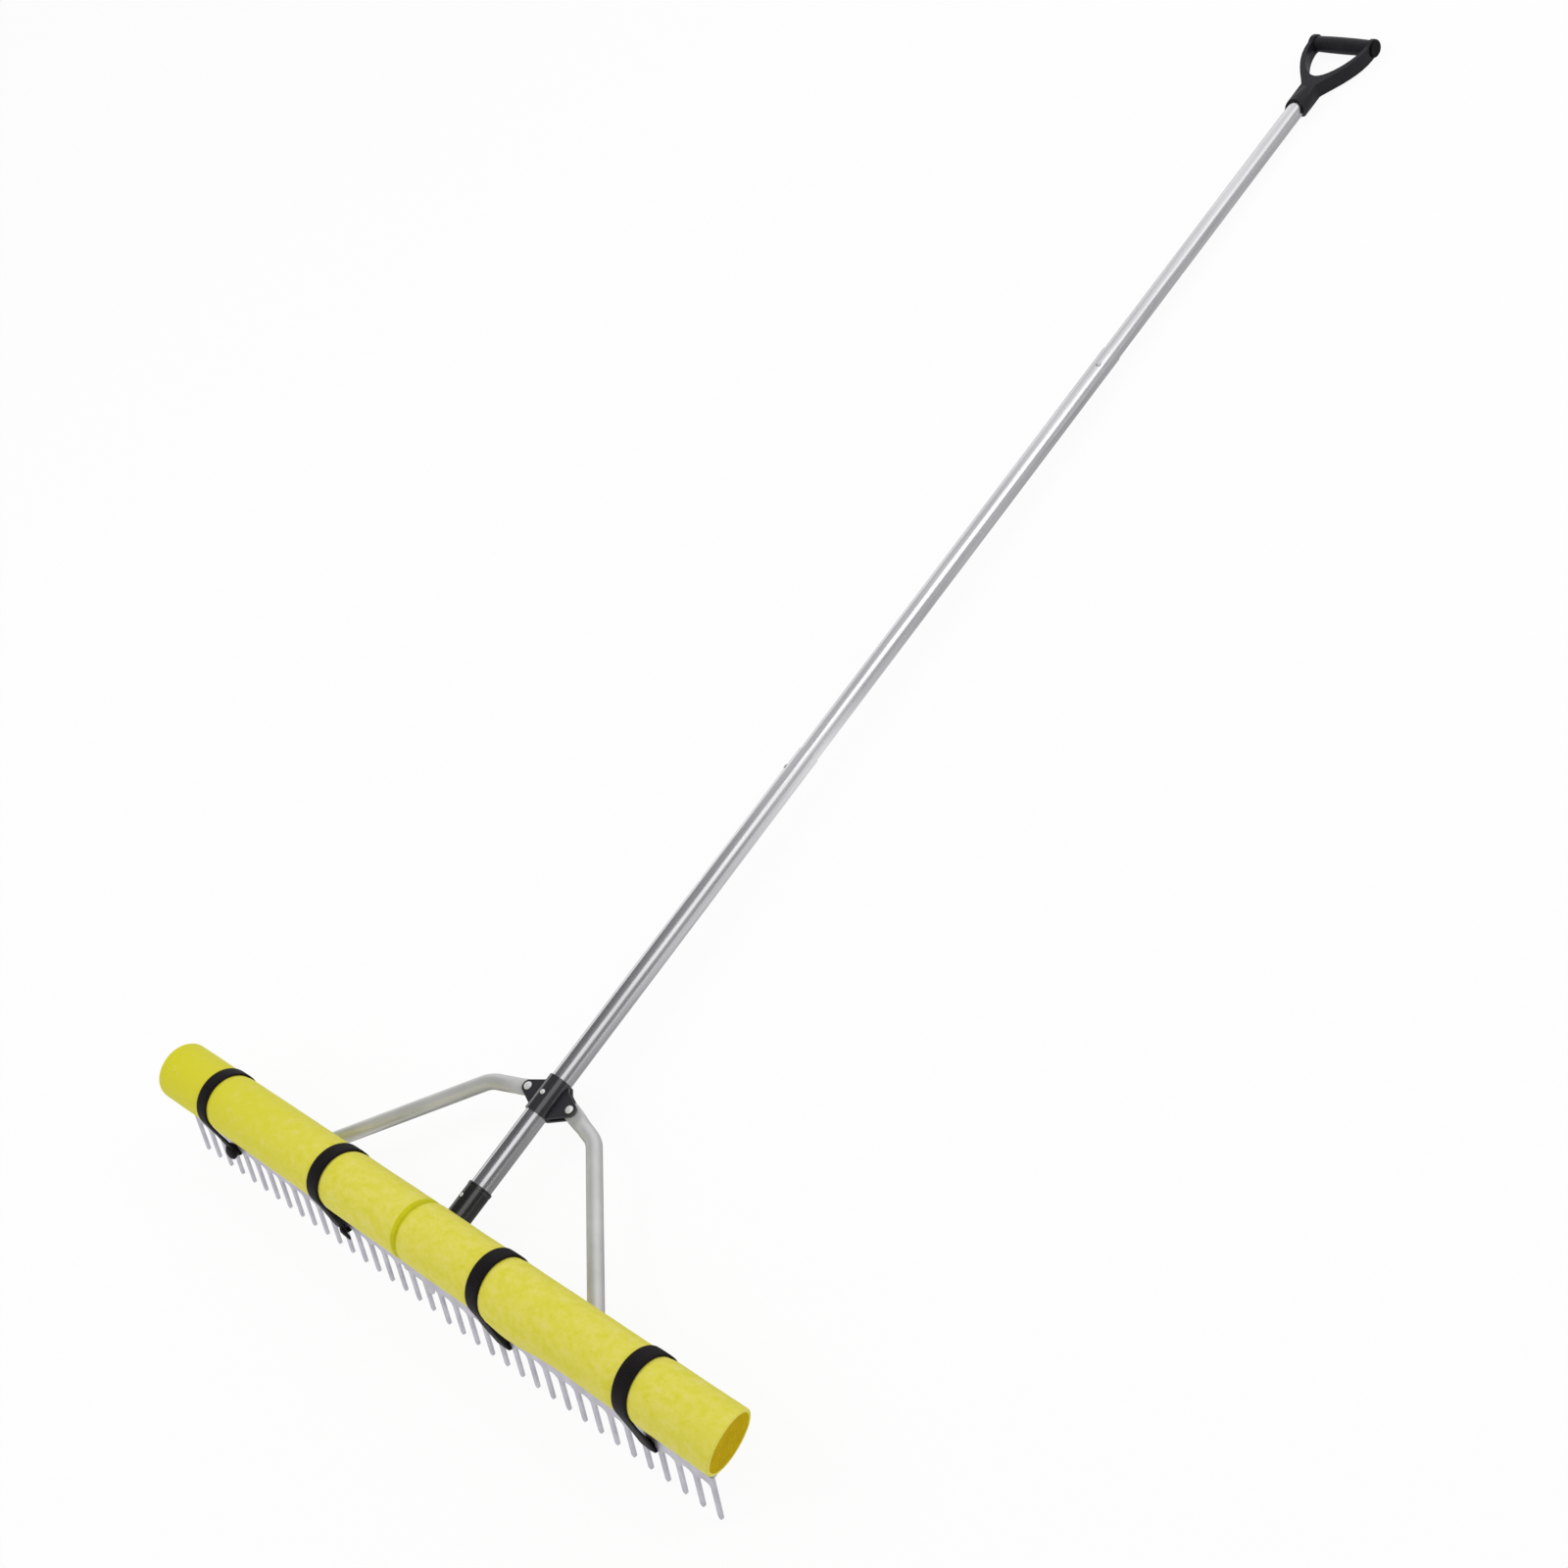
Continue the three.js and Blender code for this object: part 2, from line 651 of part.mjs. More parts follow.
// A strip folded to a V inside the tube, and the button riveted to its free leaf.
function snapClip(name, place, degrees, bore, outer) {
  const seat = Math.sqrt(bore * bore - (clipWidth * clipWidth) / 4) - gap - clipThickness / 2;
  const foldPlace = clipFold - clipTail;
  const fold = arcPoints(foldPlace, 0, clipFold, clipFold, quarterTurn, 3 * quarterTurn, roundSteps);
  const line = [[clipTip, seat], [-clipTip, seat], ...fold, [-clipTip, -seat], [clipTip, -seat]];
  const rivetHole = rod(rivetRadius + gap, 0, outer).rotateX(quarterTurn);
  const leaves = cut(strip(line, clipThickness, clipWidth), rivetHole);
  const spring = piece(name + "_snap_spring", leaves, "springSteel");
  const top = outer + buttonProud;
  const foot = seat - clipThickness;
  const shoulder = seat + clipThickness / 2 + gap;
  const crown = arcPoints(0, top - buttonDome, buttonRadius, buttonDome, 0, quarterTurn, roundSteps, 1);
  const body = turned([
    [0, foot],
    [rivetRadius, foot],
    [rivetRadius, shoulder],
    [buttonRadius, shoulder],
    [buttonRadius, top - buttonDome],
    ...crown,
    [0, top],
  ], boltSides).rotateX(quarterTurn);
  const button = piece(name + "_snap_button", body, "springSteel");
  return [spring, button].map((part) => placedOnPole(part, place, degrees));
}

// Brace clamp: two shells round the lower tube, with wings that grip the braces
function wingOutline() {
  const outline = new THREE.Shape();
  const shoulder = wingShoulderWidth;
  const half = clampLength / 2;
  const lobe = wingLobeRadius;
  const rise = radians(wingLobeDegrees);
  outline.moveTo(shoulder, -wingShoulderLength);
  outline.absarc(clampHalfSpan, 0, lobe, -rise, rise, false);
  outline.lineTo(shoulder, wingShoulderLength);
  outline.lineTo(lowerOuterRadius, half);
  outline.lineTo(-lowerOuterRadius, half);
  outline.lineTo(-shoulder, wingShoulderLength);
  outline.absarc(-clampHalfSpan, 0, lobe, Math.PI - rise, Math.PI + rise, false);
  outline.lineTo(-shoulder, -wingShoulderLength);
  outline.lineTo(-lowerOuterRadius, -half);
  outline.lineTo(lowerOuterRadius, -half);
  return outline;
}

// Half a shell: side +1 lies over the tube, side -1 under it.
function clampShell(name, side) {
  const inner = lowerOuterRadius + gap;
  const outer = inner + saddleWall;
  const seat = clampSplit + (side * braceFlatThickness) / 2 + side * gap;
  const low = Math.min(seat, seat + side * wingThickness);
  const wings = slab(wingOutline(), low, low + wingThickness);
  const barrel = rod(outer, -clampLength / 2, clampLength / 2, tubeSides);
  const reach = clampLength;
  const square = shapeOf([[-reach, -reach], [reach, -reach], [reach, reach], [-reach, reach]]);
  const keep = side > 0 ? slab(square, seat, reach) : slab(square, -reach, seat);
  const body = joined(wings, common(barrel, keep));
  const bore = rod(inner, -clampLength, clampLength, tubeSides);
  const holes = [-clampHalfSpan, clampHalfSpan].map((x) =>
    upright(rod(boltRadius + gap, -reach, reach), x, 0),
  );
  const screwHole = sideHole(clampScrewRadius + gap, 0, clampScrewDegrees, reach);
  const topCuts = [screwHole, ...wingGrooves(outer, low + wingThickness)];
  const cutters = side > 0 ? [bore, ...topCuts, ...holes] : [bore, ...holes];
  const shell = piece(name, cut(body, ...cutters), "blackPlastic");
  shell.position.y = clampPlace;
  return shell;
}

// Shallow grooves in the top wings along the foot of the saddle.
function wingGrooves(outer, top) {
  const foot = Math.sqrt(outer * outer - top * top);
  const reach = clampLength;
  const floor = top - clampGroove;
  const section = shapeOf([[-reach, floor], [reach, floor], [reach, top + overrun], [-reach, top + overrun]]);
  return [bar(section, foot, foot + clampGroove), bar(section, -foot - clampGroove, -foot)];
}

function clampFasteners() {
  const top = clampSplit + braceFlatThickness / 2 + gap + wingThickness;
  const bottom = clampSplit - braceFlatThickness / 2 - gap - wingThickness;
  const grip = top - bottom + 2 * gap + nutHeight;
  const parts = [];
  for (const [side, x] of [["left", -clampHalfSpan], ["right", clampHalfSpan]]) {
    const body = boltBody(grip, boltHeadRadius, wingBoltHeadHeight, boltRadius, boltTail);
    const bolt = piece("wing_bolt_" + side, body, "zincSteel");
    bolt.position.set(x, clampPlace, top + gap);
    const nut = piece("wing_nut_" + side, nutBody(nutRadius, nutHeight, boltRadius + gap), "zincSteel");
    nut.position.set(x, clampPlace, bottom - gap);
    parts.push(bolt, nut);
  }
  return [...parts, clampScrew()];
}

// A short screw through the top shell into the tube's wall.
function clampScrew() {
  const seat = lowerOuterRadius + gap + saddleWall + gap;
  const reach = seat - lowerBore - tubeWall / 2;
  const body = boltBody(reach, clampScrewHeadRadius, clampScrewHeadHeight, clampScrewRadius, 0);
  const screw = piece("clamp_screw", roundPole(body.translate(0, 0, seat), clampScrewDegrees), "zincSteel");
  screw.position.y = clampPlace;
  return screw;
}

// Brace: a tube from the clamp's wing, bent once, down to the rail, with both ends hammered flat
function bracePath(endY, offset) {
  const start = new THREE.Vector2(clampHalfSpan + offset, clampPlace);
  const bend = new THREE.Vector2(braceBendX + offset, braceBendY);
  const end = new THREE.Vector2(braceEndX, endY);
  const inward = bend.clone().sub(start).normalize();
  const outward = end.clone().sub(bend).normalize();
  const turn = Math.acos(inward.dot(outward));
  const trim = braceBendRadius * Math.tan(turn / 2);
  const points = [start.clone().addScaledVector(inward, -braceFlatWidth / 4)];
  const firstRun = start.distanceTo(bend) - trim;
  for (let i = 1; i < roundSteps; i++) {
    points.push(start.clone().addScaledVector(inward, (firstRun * i) / roundSteps));
  }
  const arc = new THREE.QuadraticBezierCurve(
    bend.clone().addScaledVector(inward, -trim),
    bend,
    bend.clone().addScaledVector(outward, trim),
  );
  points.push(...arc.getPoints(roundSteps + 1));
  const lastRun = bend.distanceTo(end) - trim;
  const roundRun = lastRun + braceEndMargin - braceFlatLength - braceBlendLength;
  const from = bend.clone().addScaledVector(outward, trim);
  for (let i = 0; i <= roundSteps; i++) {
    points.push(from.clone().addScaledVector(outward, roundRun + (braceBlendLength * i) / roundSteps));
  }
  points.push(end.clone().addScaledVector(outward, braceEndMargin));
  return points;
}

function brace(name, side, railTop) {
  const endHeight = railTop + gap + braceFlatThickness / 2;
  const offset = side * poleOffset;
  const path = bracePath(railBoltPlace, offset);
  const lengths = [0];
  for (let i = 1; i < path.length; i++) {
    lengths.push(lengths[i - 1] + path[i].distanceTo(path[i - 1]));
  }
  const total = lengths[lengths.length - 1];
  const rings = path.map((point, i) => {
    const before = path[Math.max(0, i - 1)];
    const after = path[Math.min(path.length - 1, i + 1)];
    const direction = new THREE.Vector3(after.x - before.x, after.y - before.y, 0).normalize();
    const fromStart = (lengths[i] - bracketFlatLength) / bracketBlendLength;
    const fromEnd = (total - lengths[i] - braceFlatLength) / braceBlendLength;
    const share = Math.min(smooth(fromStart), smooth(fromEnd));
    const halfWidth = braceFlatWidth / 2 + (braceRadius - braceFlatWidth / 2) * share;
    const halfHeight = braceFlatThickness / 2 + (braceRadius - braceFlatThickness / 2) * share;
    const run = total - bracketFlatLength - braceFlatLength;
    const climbed = THREE.MathUtils.clamp((lengths[i] - bracketFlatLength) / run, 0, 1);
    const height = along(clampSplit, endHeight, climbed);
    const centre = new THREE.Vector3(point.x, point.y, height);
    return flatRing(centre, direction, halfWidth, halfHeight, braceSides);
  });
  const body = loft(rings);
  const holes = [[clampHalfSpan + offset, clampPlace], [braceEndX, railBoltPlace]].map(([x, y]) =>
    upright(rod(boltRadius + gap, -stubLength, stubLength), x, y),
  );
  const made = solid(cut(body, ...holes));
  const geometry = geometryOf(side < 0 ? made.mirror([1, 0, 0]) : made);
  return piece(name, geometry, "greyTube");
}

// Float: two foam cylinders, pressed in under the straps
function strapPlaces() {
  const half = tinePitch / 2;
  const right = combHalfSpan - (rightTineCount - 1) * tinePitch + half;
  const inner = right + strapInnerGapIndex * tinePitch;
  const outer = right + strapOuterGapIndex * tinePitch;
  return [-outer, -inner, inner, outer];
}

function floatHalf(name, side) {
  const start = floatSeam / 2 + side * floatShift;
  const end = floatHalfLength + side * floatShift;
  const bed = floatRadius - floatGroove;
  const grooves = strapPlaces().filter((x) => x > 0);
  const profile = [[0, start], [floatRadius - floatEdge / 2, start], [floatRadius, start + floatEdge / 2]];
  for (const x of grooves) {
    const half = strapWidth / 2 + gap;
    profile.push([floatRadius, x - half - floatGroove], [bed, x - half]);
    profile.push([bed, x + half], [floatRadius, x + half + floatGroove]);
  }
  const corner = end - floatEdge;
  profile.push(
    ...arcPoints(floatRadius - floatEdge, corner, floatEdge, floatEdge, 0, quarterTurn, roundSteps - 1),
    [0, end],
  );
  const body = turned(profile, floatSides).rotateZ(-side * quarterTurn);
  const half = piece(name, body, "yellowFoam");
  half.position.set(0, floatPlace, floatHeight);
  return half;
}

// The outline round a set of circles pulled tight, as a rope round pegs.
function tightLoop(circles) {
  const points = circles.flatMap(([y, z, radius]) =>
    arcPoints(y, z, radius, radius, 0, 2 * Math.PI, strapSteps).slice(0, -1),
  );
  points.sort((a, b) => a[0] - b[0] || a[1] - b[1]);
  const turn = (o, a, b) => (a[0] - o[0]) * (b[1] - o[1]) - (a[1] - o[1]) * (b[0] - o[0]);
  const chain = (list) => {
    const kept = [];
    for (const p of list) {
      while (kept.length > 1 && turn(kept[kept.length - 2], kept[kept.length - 1], p) <= 0) {
        kept.pop();
      }
      kept.push(p);
    }
    return kept.slice(0, -1);
  };
  return [...chain(points), ...chain([...points].reverse())];
}

// A webbing strap pulled tight round the float, the web's foot and the flange's edge.
function strap(name, x) {
  const shiftY = x > 0 ? -lapForward : lapForward;
  const shiftZ = x > 0 ? lapDrop : -lapDrop;
  const half = plateThickness / 2;
  const footY = shiftY - archRise * tineUp.y;
  const footZ = shiftZ - archLineDrop - archRise * tineUp.z;
  const frontFoot = [footY - plateBack.y * half, footZ - plateBack.z * half];
  const backFoot = [footY + plateBack.y * half, footZ + plateBack.z * half];
  const edge = [bendY + flangeDepth + shiftY, flangeHeight - half + shiftZ];
  const edgeTop = [edge[0], edge[1] + plateThickness];
  const circles = (extra) => [
    [floatPlace, floatHeight, floatRadius - floatGroove + gap + extra],
    ...[frontFoot, backFoot, edge, edgeTop].map(([y, z]) => [y, z, strapCorner + extra]),
  ];
  const band = shapeOf(tightLoop(circles(strapThickness)));
  band.holes.push(shapeOf(tightLoop(circles(0))));
  return piece(name, bar(band, x - strapWidth / 2, x + strapWidth / 2), "blackWebbing");
}

// Handle: a yoke with a scalloped collar, a turned grip and its end caps
// The outer line of the right arm, from the neck to past the grip.
function yokePlan() {
  const plan = new THREE.Shape();
  const [startX, startY] = armStartShares;
  const [endX, endY] = armEndShares;
  const w = yokeHalfWidth;
  const n = neckHalfWidth;
  const top = gripPlace + yokeDiscRadius;
  const near = [along(n, w, startX), along(neckEnd, openingStart, startY)];
  const far = [along(n, w, endX), along(neckEnd, yokeShoulder, endY)];
  plan.moveTo(-n, neckStart - collarTaper);
  plan.lineTo(n, neckStart - collarTaper);
  plan.lineTo(n, neckEnd);
  plan.bezierCurveTo(...near, ...far, w, yokeShoulder);
  plan.lineTo(w, top);
  plan.lineTo(-w, top);
  plan.lineTo(-w, yokeShoulder);
  plan.bezierCurveTo(-far[0], far[1], -near[0], near[1], -n, neckEnd);
  return plan;
}

function yokeOpening() {
  const inner = yokeHalfWidth - yokeArm;
  const top = gripPlace + yokeDiscRadius + overrun;
  const [startX, startY] = crotchShares;
  const [endX, endY] = openingShares;
  const near = [inner * startX, along(openingStart, yokeShoulder, startY)];
  const far = [inner * endX, along(openingStart, yokeShoulder, endY)];
  const opening = new THREE.Shape();
  opening.moveTo(0, openingStart);
  opening.bezierCurveTo(...near, ...far, inner, yokeShoulder);
  opening.lineTo(inner, top);
  opening.lineTo(-inner, top);
  opening.lineTo(-inner, yokeShoulder);
  opening.bezierCurveTo(-far[0], far[1], -near[0], near[1], 0, openingStart);
  return opening;
}

// The yoke from the side: a neck, and arms that end in discs round the grip.
function yokeSide() {
  const open = Math.PI - Math.asin(armHalfDepth / yokeDiscRadius);
  const side = new THREE.Shape();
  side.moveTo(neckStart - collarTaper, -neckHalfDepth);
  side.lineTo(neckEnd, -neckHalfDepth);
  side.lineTo(along(openingStart, yokeShoulder, openingShares[1]), -armHalfDepth);
  side.absarc(gripPlace, 0, yokeDiscRadius, -open, open, false);
  side.lineTo(along(openingStart, yokeShoulder, openingShares[1]), armHalfDepth);
  side.lineTo(neckEnd, neckHalfDepth);
  side.lineTo(neckStart - collarTaper, neckHalfDepth);
  return side;
}

function handleYoke() {
  const depth = neckHalfDepth + yokeDiscRadius;
  const span = yokeHalfWidth + overrun;
  const steps = 2 * roundSteps;
  const arms = common(slab(yokePlan(), -depth, depth, steps), bar(yokeSide(), -span, span, steps));
  const collar = turned([
    [0, lipPlace],
    [collarRadius, lipPlace],
    [collarRadius, lipPlace + collarStraight],
    [neckHalfWidth, neckStart],
    [0, neckStart],
  ]);
  const body = joined(arms, collar);
  const bore = rod(upperOuterRadius + gap, lipPlace - overrun, upperEnd + gap, tubeSides);
  const lipCut = rod(collarRadius, -span, span, tubeSides).scale(1, 1, lipScallop / collarRadius);
  const scallop = upright(lipCut, 0, lipPlace);
  const pivot = rod(gripRadius - gripWall, -span, span, tubeSides).rotateZ(quarterTurn);
  pivot.translate(0, gripPlace, 0);
  const screwHole = sideHole(handleScrewRadius + gap, handleScrewPlace, handleScrewDegrees);
  const counterbore = upright(rod(handleScrewHeadRadius + gap, -span, -handleScrewSeat), 0, handleScrewPlace);
  const screwCutters = [screwHole, counterbore];
  const yoke = cut(body, slab(yokeOpening(), -depth, depth, steps), bore, scallop, pivot, ...screwCutters);
  return piece("handle_yoke", yoke, "charcoalPlastic");
}

function handleGrip() {
  const half = yokeHalfWidth - yokeArm - gap;
  const end = gripRadius - gripWaist;
  const bore = gripRadius - gripWall;
  const crown = gripProfileShares.map((share) => [end + gripWaist * (1 - share * share), share * half]);
  const profile = [...crown, [bore, half], [bore, -half], [end, -half]];
  const grip = piece("handle_grip", turned(profile).rotateZ(quarterTurn), "charcoalPlastic");
  grip.position.y = gripPlace;
  return grip;
}

// A cap over the arm's disc, with a spigot through the arm into the grip.
function gripCap(name, side) {
  const face = yokeHalfWidth + gap;
  const spigot = gripRadius - gripWall - gap;
  const body = turned([
    [0, face - yokeArm - capSpigotLength],
    [spigot, face - yokeArm - capSpigotLength],
    [spigot, face],
    [gripCapRadius, face],
    [gripCapRadius, face + gripCapThickness - gripCapEdge],
    [gripCapRadius - gripCapEdge, face + gripCapThickness],
    [0, face + gripCapThickness],
  ]);
  const cap = piece(name, body.rotateZ(-side * quarterTurn), "blackPlastic");
  cap.position.y = gripPlace;
  return cap;
}

function handleScrew() {
  const seat = handleScrewSeat + gap;
  const body = boltBody(handleScrewReach, handleScrewHeadRadius, handleScrewHeadHeight, handleScrewRadius, 0);
  const screw = piece("handle_screw", body, "zincSteel");
  screw.rotation.y = Math.PI;
  screw.position.set(0, handleScrewPlace, -seat);
  return screw;
}

// The head's pieces, on the frame that the pole carries
function headPieces() {
  const left = tinePlaces(-combHalfSpan, leftTineCount);
  const right = tinePlaces(combHalfSpan - (rightTineCount - 1) * tinePitch, rightTineCount);
  const edge = combHalfSpan + tineRootWidth / 2;
  const [boltLeft, boltRight] = stubBoltPlaces();
  const flatTop = stubFlatHeight + stubFlatThickness / 2;
  const braceTop = braceFlatThickness + gap;
  return [
    comb("comb_left", left, -edge, poleOffset + lapHalfLength, false),
    comb("comb_right", right, poleOffset - lapHalfLength, edge, true),
    socketStub(),
    railBolt("stub_bolt_left", boltLeft, flatTop, flangeBottomLeft),
    railBolt("stub_bolt_right", boltRight, flatTop, flangeBottomLeft),
    railNut("stub_nut_left", boltLeft, flangeBottomLeft),
    railNut("stub_nut_right", boltRight, flangeBottomLeft),
    brace("brace_left", -1, flangeTopLeft),
    brace("brace_right", 1, flangeTopRight),
    railBolt("brace_bolt_left", -braceEndX, flangeTopLeft + braceTop, flangeBottomLeft),
    railBolt("brace_bolt_right", braceEndX, flangeTopRight + braceTop, flangeBottomLeft + stackStep),
    railNut("brace_nut_left", -braceEndX, flangeBottomLeft),
    railNut("brace_nut_right", braceEndX, flangeBottomLeft + stackStep),
    floatHalf("float_left", -1),
    floatHalf("float_right", 1),
    ...strapPlaces().map((x, i) => strap("strap_" + (i + 1), x)),
  ];
}

// The slope at which the line under the tine tips and the handle is level.
function restingTilt(group) {
  group.updateMatrixWorld(true);
  const places = [];
  group.traverse((part) => {
    if (!part.isMesh) return;
    const position = part.geometry.getAttribute("position");
    for (let i = 0; i < position.count; i++) {
      const point = new THREE.Vector3().fromBufferAttribute(position, i).applyMatrix4(part.matrixWorld);
      places.push([point.y, point.z]);
    }
  });
  let foot = places.reduce((low, p) => (p[1] < low[1] ? p : low));
  let slope = 0;
  for (let round = 0; round < roundSteps; round++) {
    const far = places.filter((p) => p[0] > lowerEnd);
    const slopeTo = (p) => (p[1] - foot[1]) / (p[0] - foot[0]);
    slope = Math.min(...far.map(slopeTo));
    foot = places.reduce((low, p) => (p[1] - slope * p[0] < low[1] - slope * low[0] ? p : low));
  }
  return Math.atan(slope);
}

const pole = new THREE.Group();
const lowerSection = new THREE.Group();
lowerSection.add(
  ferrule(),
  lowerTube(),
  ...snapClip("foot", footButtonPlace, footLockDegrees, stubBore, lowerOuterRadius),
  clampShell("clamp_top", 1),
  clampShell("clamp_bottom", -1),
  ...clampFasteners(),
);
const middleSection = new THREE.Group();
middleSection.add(
  middleTube(),
  endPlug("middle_end_plug", middleOuterRadius, middleBore, middleStart),
  ...snapClip("lower", lowerButtonPlace, lowerLockDegrees, middleBore, lowerOuterRadius),
);
const upperSection = new THREE.Group();
upperSection.add(
  upperTube(),
  endPlug("upper_end_plug", upperOuterRadius, upperBore, upperStart),
  ...snapClip("upper", upperButtonPlace, upperLockDegrees, upperBore, middleOuterRadius),
  handleYoke(),
  handleGrip(),
  gripCap("grip_cap_left", -1),
  gripCap("grip_cap_right", 1),
  handleScrew(),
);
for (const section of [lowerSection, middleSection, upperSection]) {
  section.position.x = poleOffset;
}
const head = new THREE.Group();
head.add(...headPieces());
pole.add(head, lowerSection, middleSection, upperSection);

// Laid on the floor, with the origin under the middle of the whole rake.
pole.rotation.x = -restingTilt(pole);
const rake = new THREE.Group();
rake.add(pole);
rake.updateMatrixWorld(true);
const box = new THREE.Box3().setFromObject(rake, true);
const middle = box.getCenter(new THREE.Vector3());
pole.position.set(-middle.x, -middle.y, -box.min.z);

export default rake;
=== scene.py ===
"""Dresses the floating rake: foam float, webbing straps, and a finish for every metal and plastic piece."""
import json
import logging
import math
from dataclasses import dataclass, field
from enum import Enum
from typing import Iterable, Sequence

import bmesh
import bpy
from mathutils import Euler, Matrix, Vector, noise


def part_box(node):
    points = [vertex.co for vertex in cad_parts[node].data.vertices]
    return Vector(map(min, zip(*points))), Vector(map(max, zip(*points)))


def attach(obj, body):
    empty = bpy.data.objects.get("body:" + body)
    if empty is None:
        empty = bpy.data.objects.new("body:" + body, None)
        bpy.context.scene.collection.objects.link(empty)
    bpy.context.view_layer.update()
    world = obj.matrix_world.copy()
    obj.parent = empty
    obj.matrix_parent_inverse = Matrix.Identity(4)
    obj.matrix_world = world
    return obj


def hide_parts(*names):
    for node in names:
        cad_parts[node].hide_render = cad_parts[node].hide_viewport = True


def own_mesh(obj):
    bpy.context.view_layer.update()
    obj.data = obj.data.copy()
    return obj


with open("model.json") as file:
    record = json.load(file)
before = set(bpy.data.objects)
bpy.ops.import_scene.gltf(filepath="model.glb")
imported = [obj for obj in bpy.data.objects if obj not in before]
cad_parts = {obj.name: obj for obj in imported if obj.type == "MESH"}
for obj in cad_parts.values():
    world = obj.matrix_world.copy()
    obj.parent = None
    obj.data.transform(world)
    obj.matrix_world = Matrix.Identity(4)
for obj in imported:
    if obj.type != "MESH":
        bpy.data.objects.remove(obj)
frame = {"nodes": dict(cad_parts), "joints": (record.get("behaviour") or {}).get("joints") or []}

LOG = logging.getLogger("rake")
MM = 0.001
Pair = tuple[float, float]
Triple = tuple[float, float, float]
Colour = tuple[float, float, float, float]
Tree = bpy.types.NodeTree
Socket = bpy.types.NodeSocket


class Body(str, Enum):
    """The moving bodies that a dressed piece can ride on."""

    HEAD = "head_and_lower_pole"
    LOWER_BUTTON = "lower_button"
    UPPER_BUTTON = "upper_button"


class Side(Enum):
    """Which half of the head a piece belongs to, along X."""

    LEFT = -1
    RIGHT = 1


class TailKind(Enum):
    """How a strap's loose end lies at the foot of the comb."""

    BUNCHED = "bunched"
    SIDEWAYS = "sideways"
    CUT = "cut"
    FOLDED = "folded"


# Helpers for colours, nodes and meshes


def linear(hex_code: str) -> Colour:
    """Turns an sRGB hex colour into the linear values that the shaders take.

    Args:
        hex_code: Six hex digits, as written on a colour card.

    Returns:
        Linear red, green, blue and an alpha of 1.
    """
    channels = [int(hex_code[i : i + 2], 16) / 255 for i in (0, 2, 4)]
    made = [c / 12.92 if c <= 0.04045 else ((c + 0.055) / 1.055) ** 2.4 for c in channels]
    return (made[0], made[1], made[2], 1.0)


def add(tree: Tree, kind: str, inputs: dict | None = None, **settings: object) -> bpy.types.Node:
    """Adds one node with its settings, values and links.

    Args:
        tree: The node tree that it goes into.
        kind: Blender's name for the node.
        inputs: Socket name or number to a value, an output, or a node whose first active output it takes.
        **settings: The node's own properties.

    Returns:
        The node.
    """
    node = tree.nodes.new(kind)
    for key, value in settings.items():
        setattr(node, key, value)
    for key, value in (inputs or {}).items():
        if isinstance(value, bpy.types.Node):
            value = next(output for output in value.outputs if output.enabled)
        if isinstance(value, bpy.types.NodeSocket):
            tree.links.new(value, node.inputs[key])
        else:
            node.inputs[key].default_value = value
    return node


def empty_material(name: str) -> tuple[bpy.types.Material, Tree]:
    """Makes a material with no nodes yet.

    Args:
        name: The material's name.

    Returns:
        The material and its node tree.
    """
    material = bpy.data.materials.new(name)
    material.use_nodes = True
    material.node_tree.nodes.clear()
    return material, material.node_tree


def mesh_object(
    name: str, bm: bmesh.types.BMesh, materials: Iterable[bpy.types.Material]
) -> bpy.types.Object:
    """Makes a mesh object from a filled bmesh.

    Args:
        name: The piece's name.
        bm: Its faces, in metres in the row frame. It is freed.
        materials: The object's material slots in order.

    Returns:
        The object, linked to the scene.
    """
    mesh = bpy.data.meshes.new(name)
    bmesh.ops.recalc_face_normals(bm, faces=bm.faces)
    bm.to_mesh(mesh)
    bm.free()
    for material in materials:
        mesh.materials.append(material)
    made = bpy.data.objects.new(name, mesh)
    bpy.context.scene.collection.objects.link(made)
    return made


def bridge(bm: bmesh.types.BMesh, a: Sequence, b: Sequence) -> list[bmesh.types.BMFace]:
    """Joins two closed rings that have the same number of vertices.

    Args:
        bm: The mesh that they are in.
        a: One ring.
        b: The ring after it.

    Returns:
        The faces in order, each with its corners on a, on a, on b and on b.
    """
    return [bm.faces.new(corners) for corners in zip(a, [*a[1:], a[0]], [*b[1:], b[0]], b)]


def smooth(obj: bpy.types.Object, degrees: float) -> None:
    """Shades an object smooth, save for the edges that turn further than the angle."""
    obj.data.polygons.foreach_set("use_smooth", [True] * len(obj.data.polygons))
    obj.data.set_sharp_from_angle(angle=math.radians(degrees))


def soft_step(value: float, start: float, end: float) -> float:
    """Rises smoothly from 0 at start to 1 at end."""
    share = min(1.0, max(0.0, (value - start) / (end - start)))
    return share * share * (3 - 2 * share)


def outline_side(ordered: Iterable[Pair]) -> list[Pair]:
    """Keeps the points of one side of the outline that a tight string has.

    Args:
        ordered: The points that the string goes round, sorted.

    Returns:
        Those that it touches on that side, without the last.
    """
    kept: list[Pair] = []
    for p in ordered:
        while len(kept) > 1:
            o, a = kept[-2], kept[-1]
            if (a[0] - o[0]) * (p[1] - o[1]) - (a[1] - o[1]) * (p[0] - o[0]) > 0:
                break
            kept.pop()
        kept.append(p)
    return kept[:-1]


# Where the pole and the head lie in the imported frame

FOAM_RADIUS = 34.6  # mm
FLOAT_ALONG = 34.6  # mm behind the comb's arch line, along the pole
FLOAT_UP = 46.5  # mm above the pole's axis


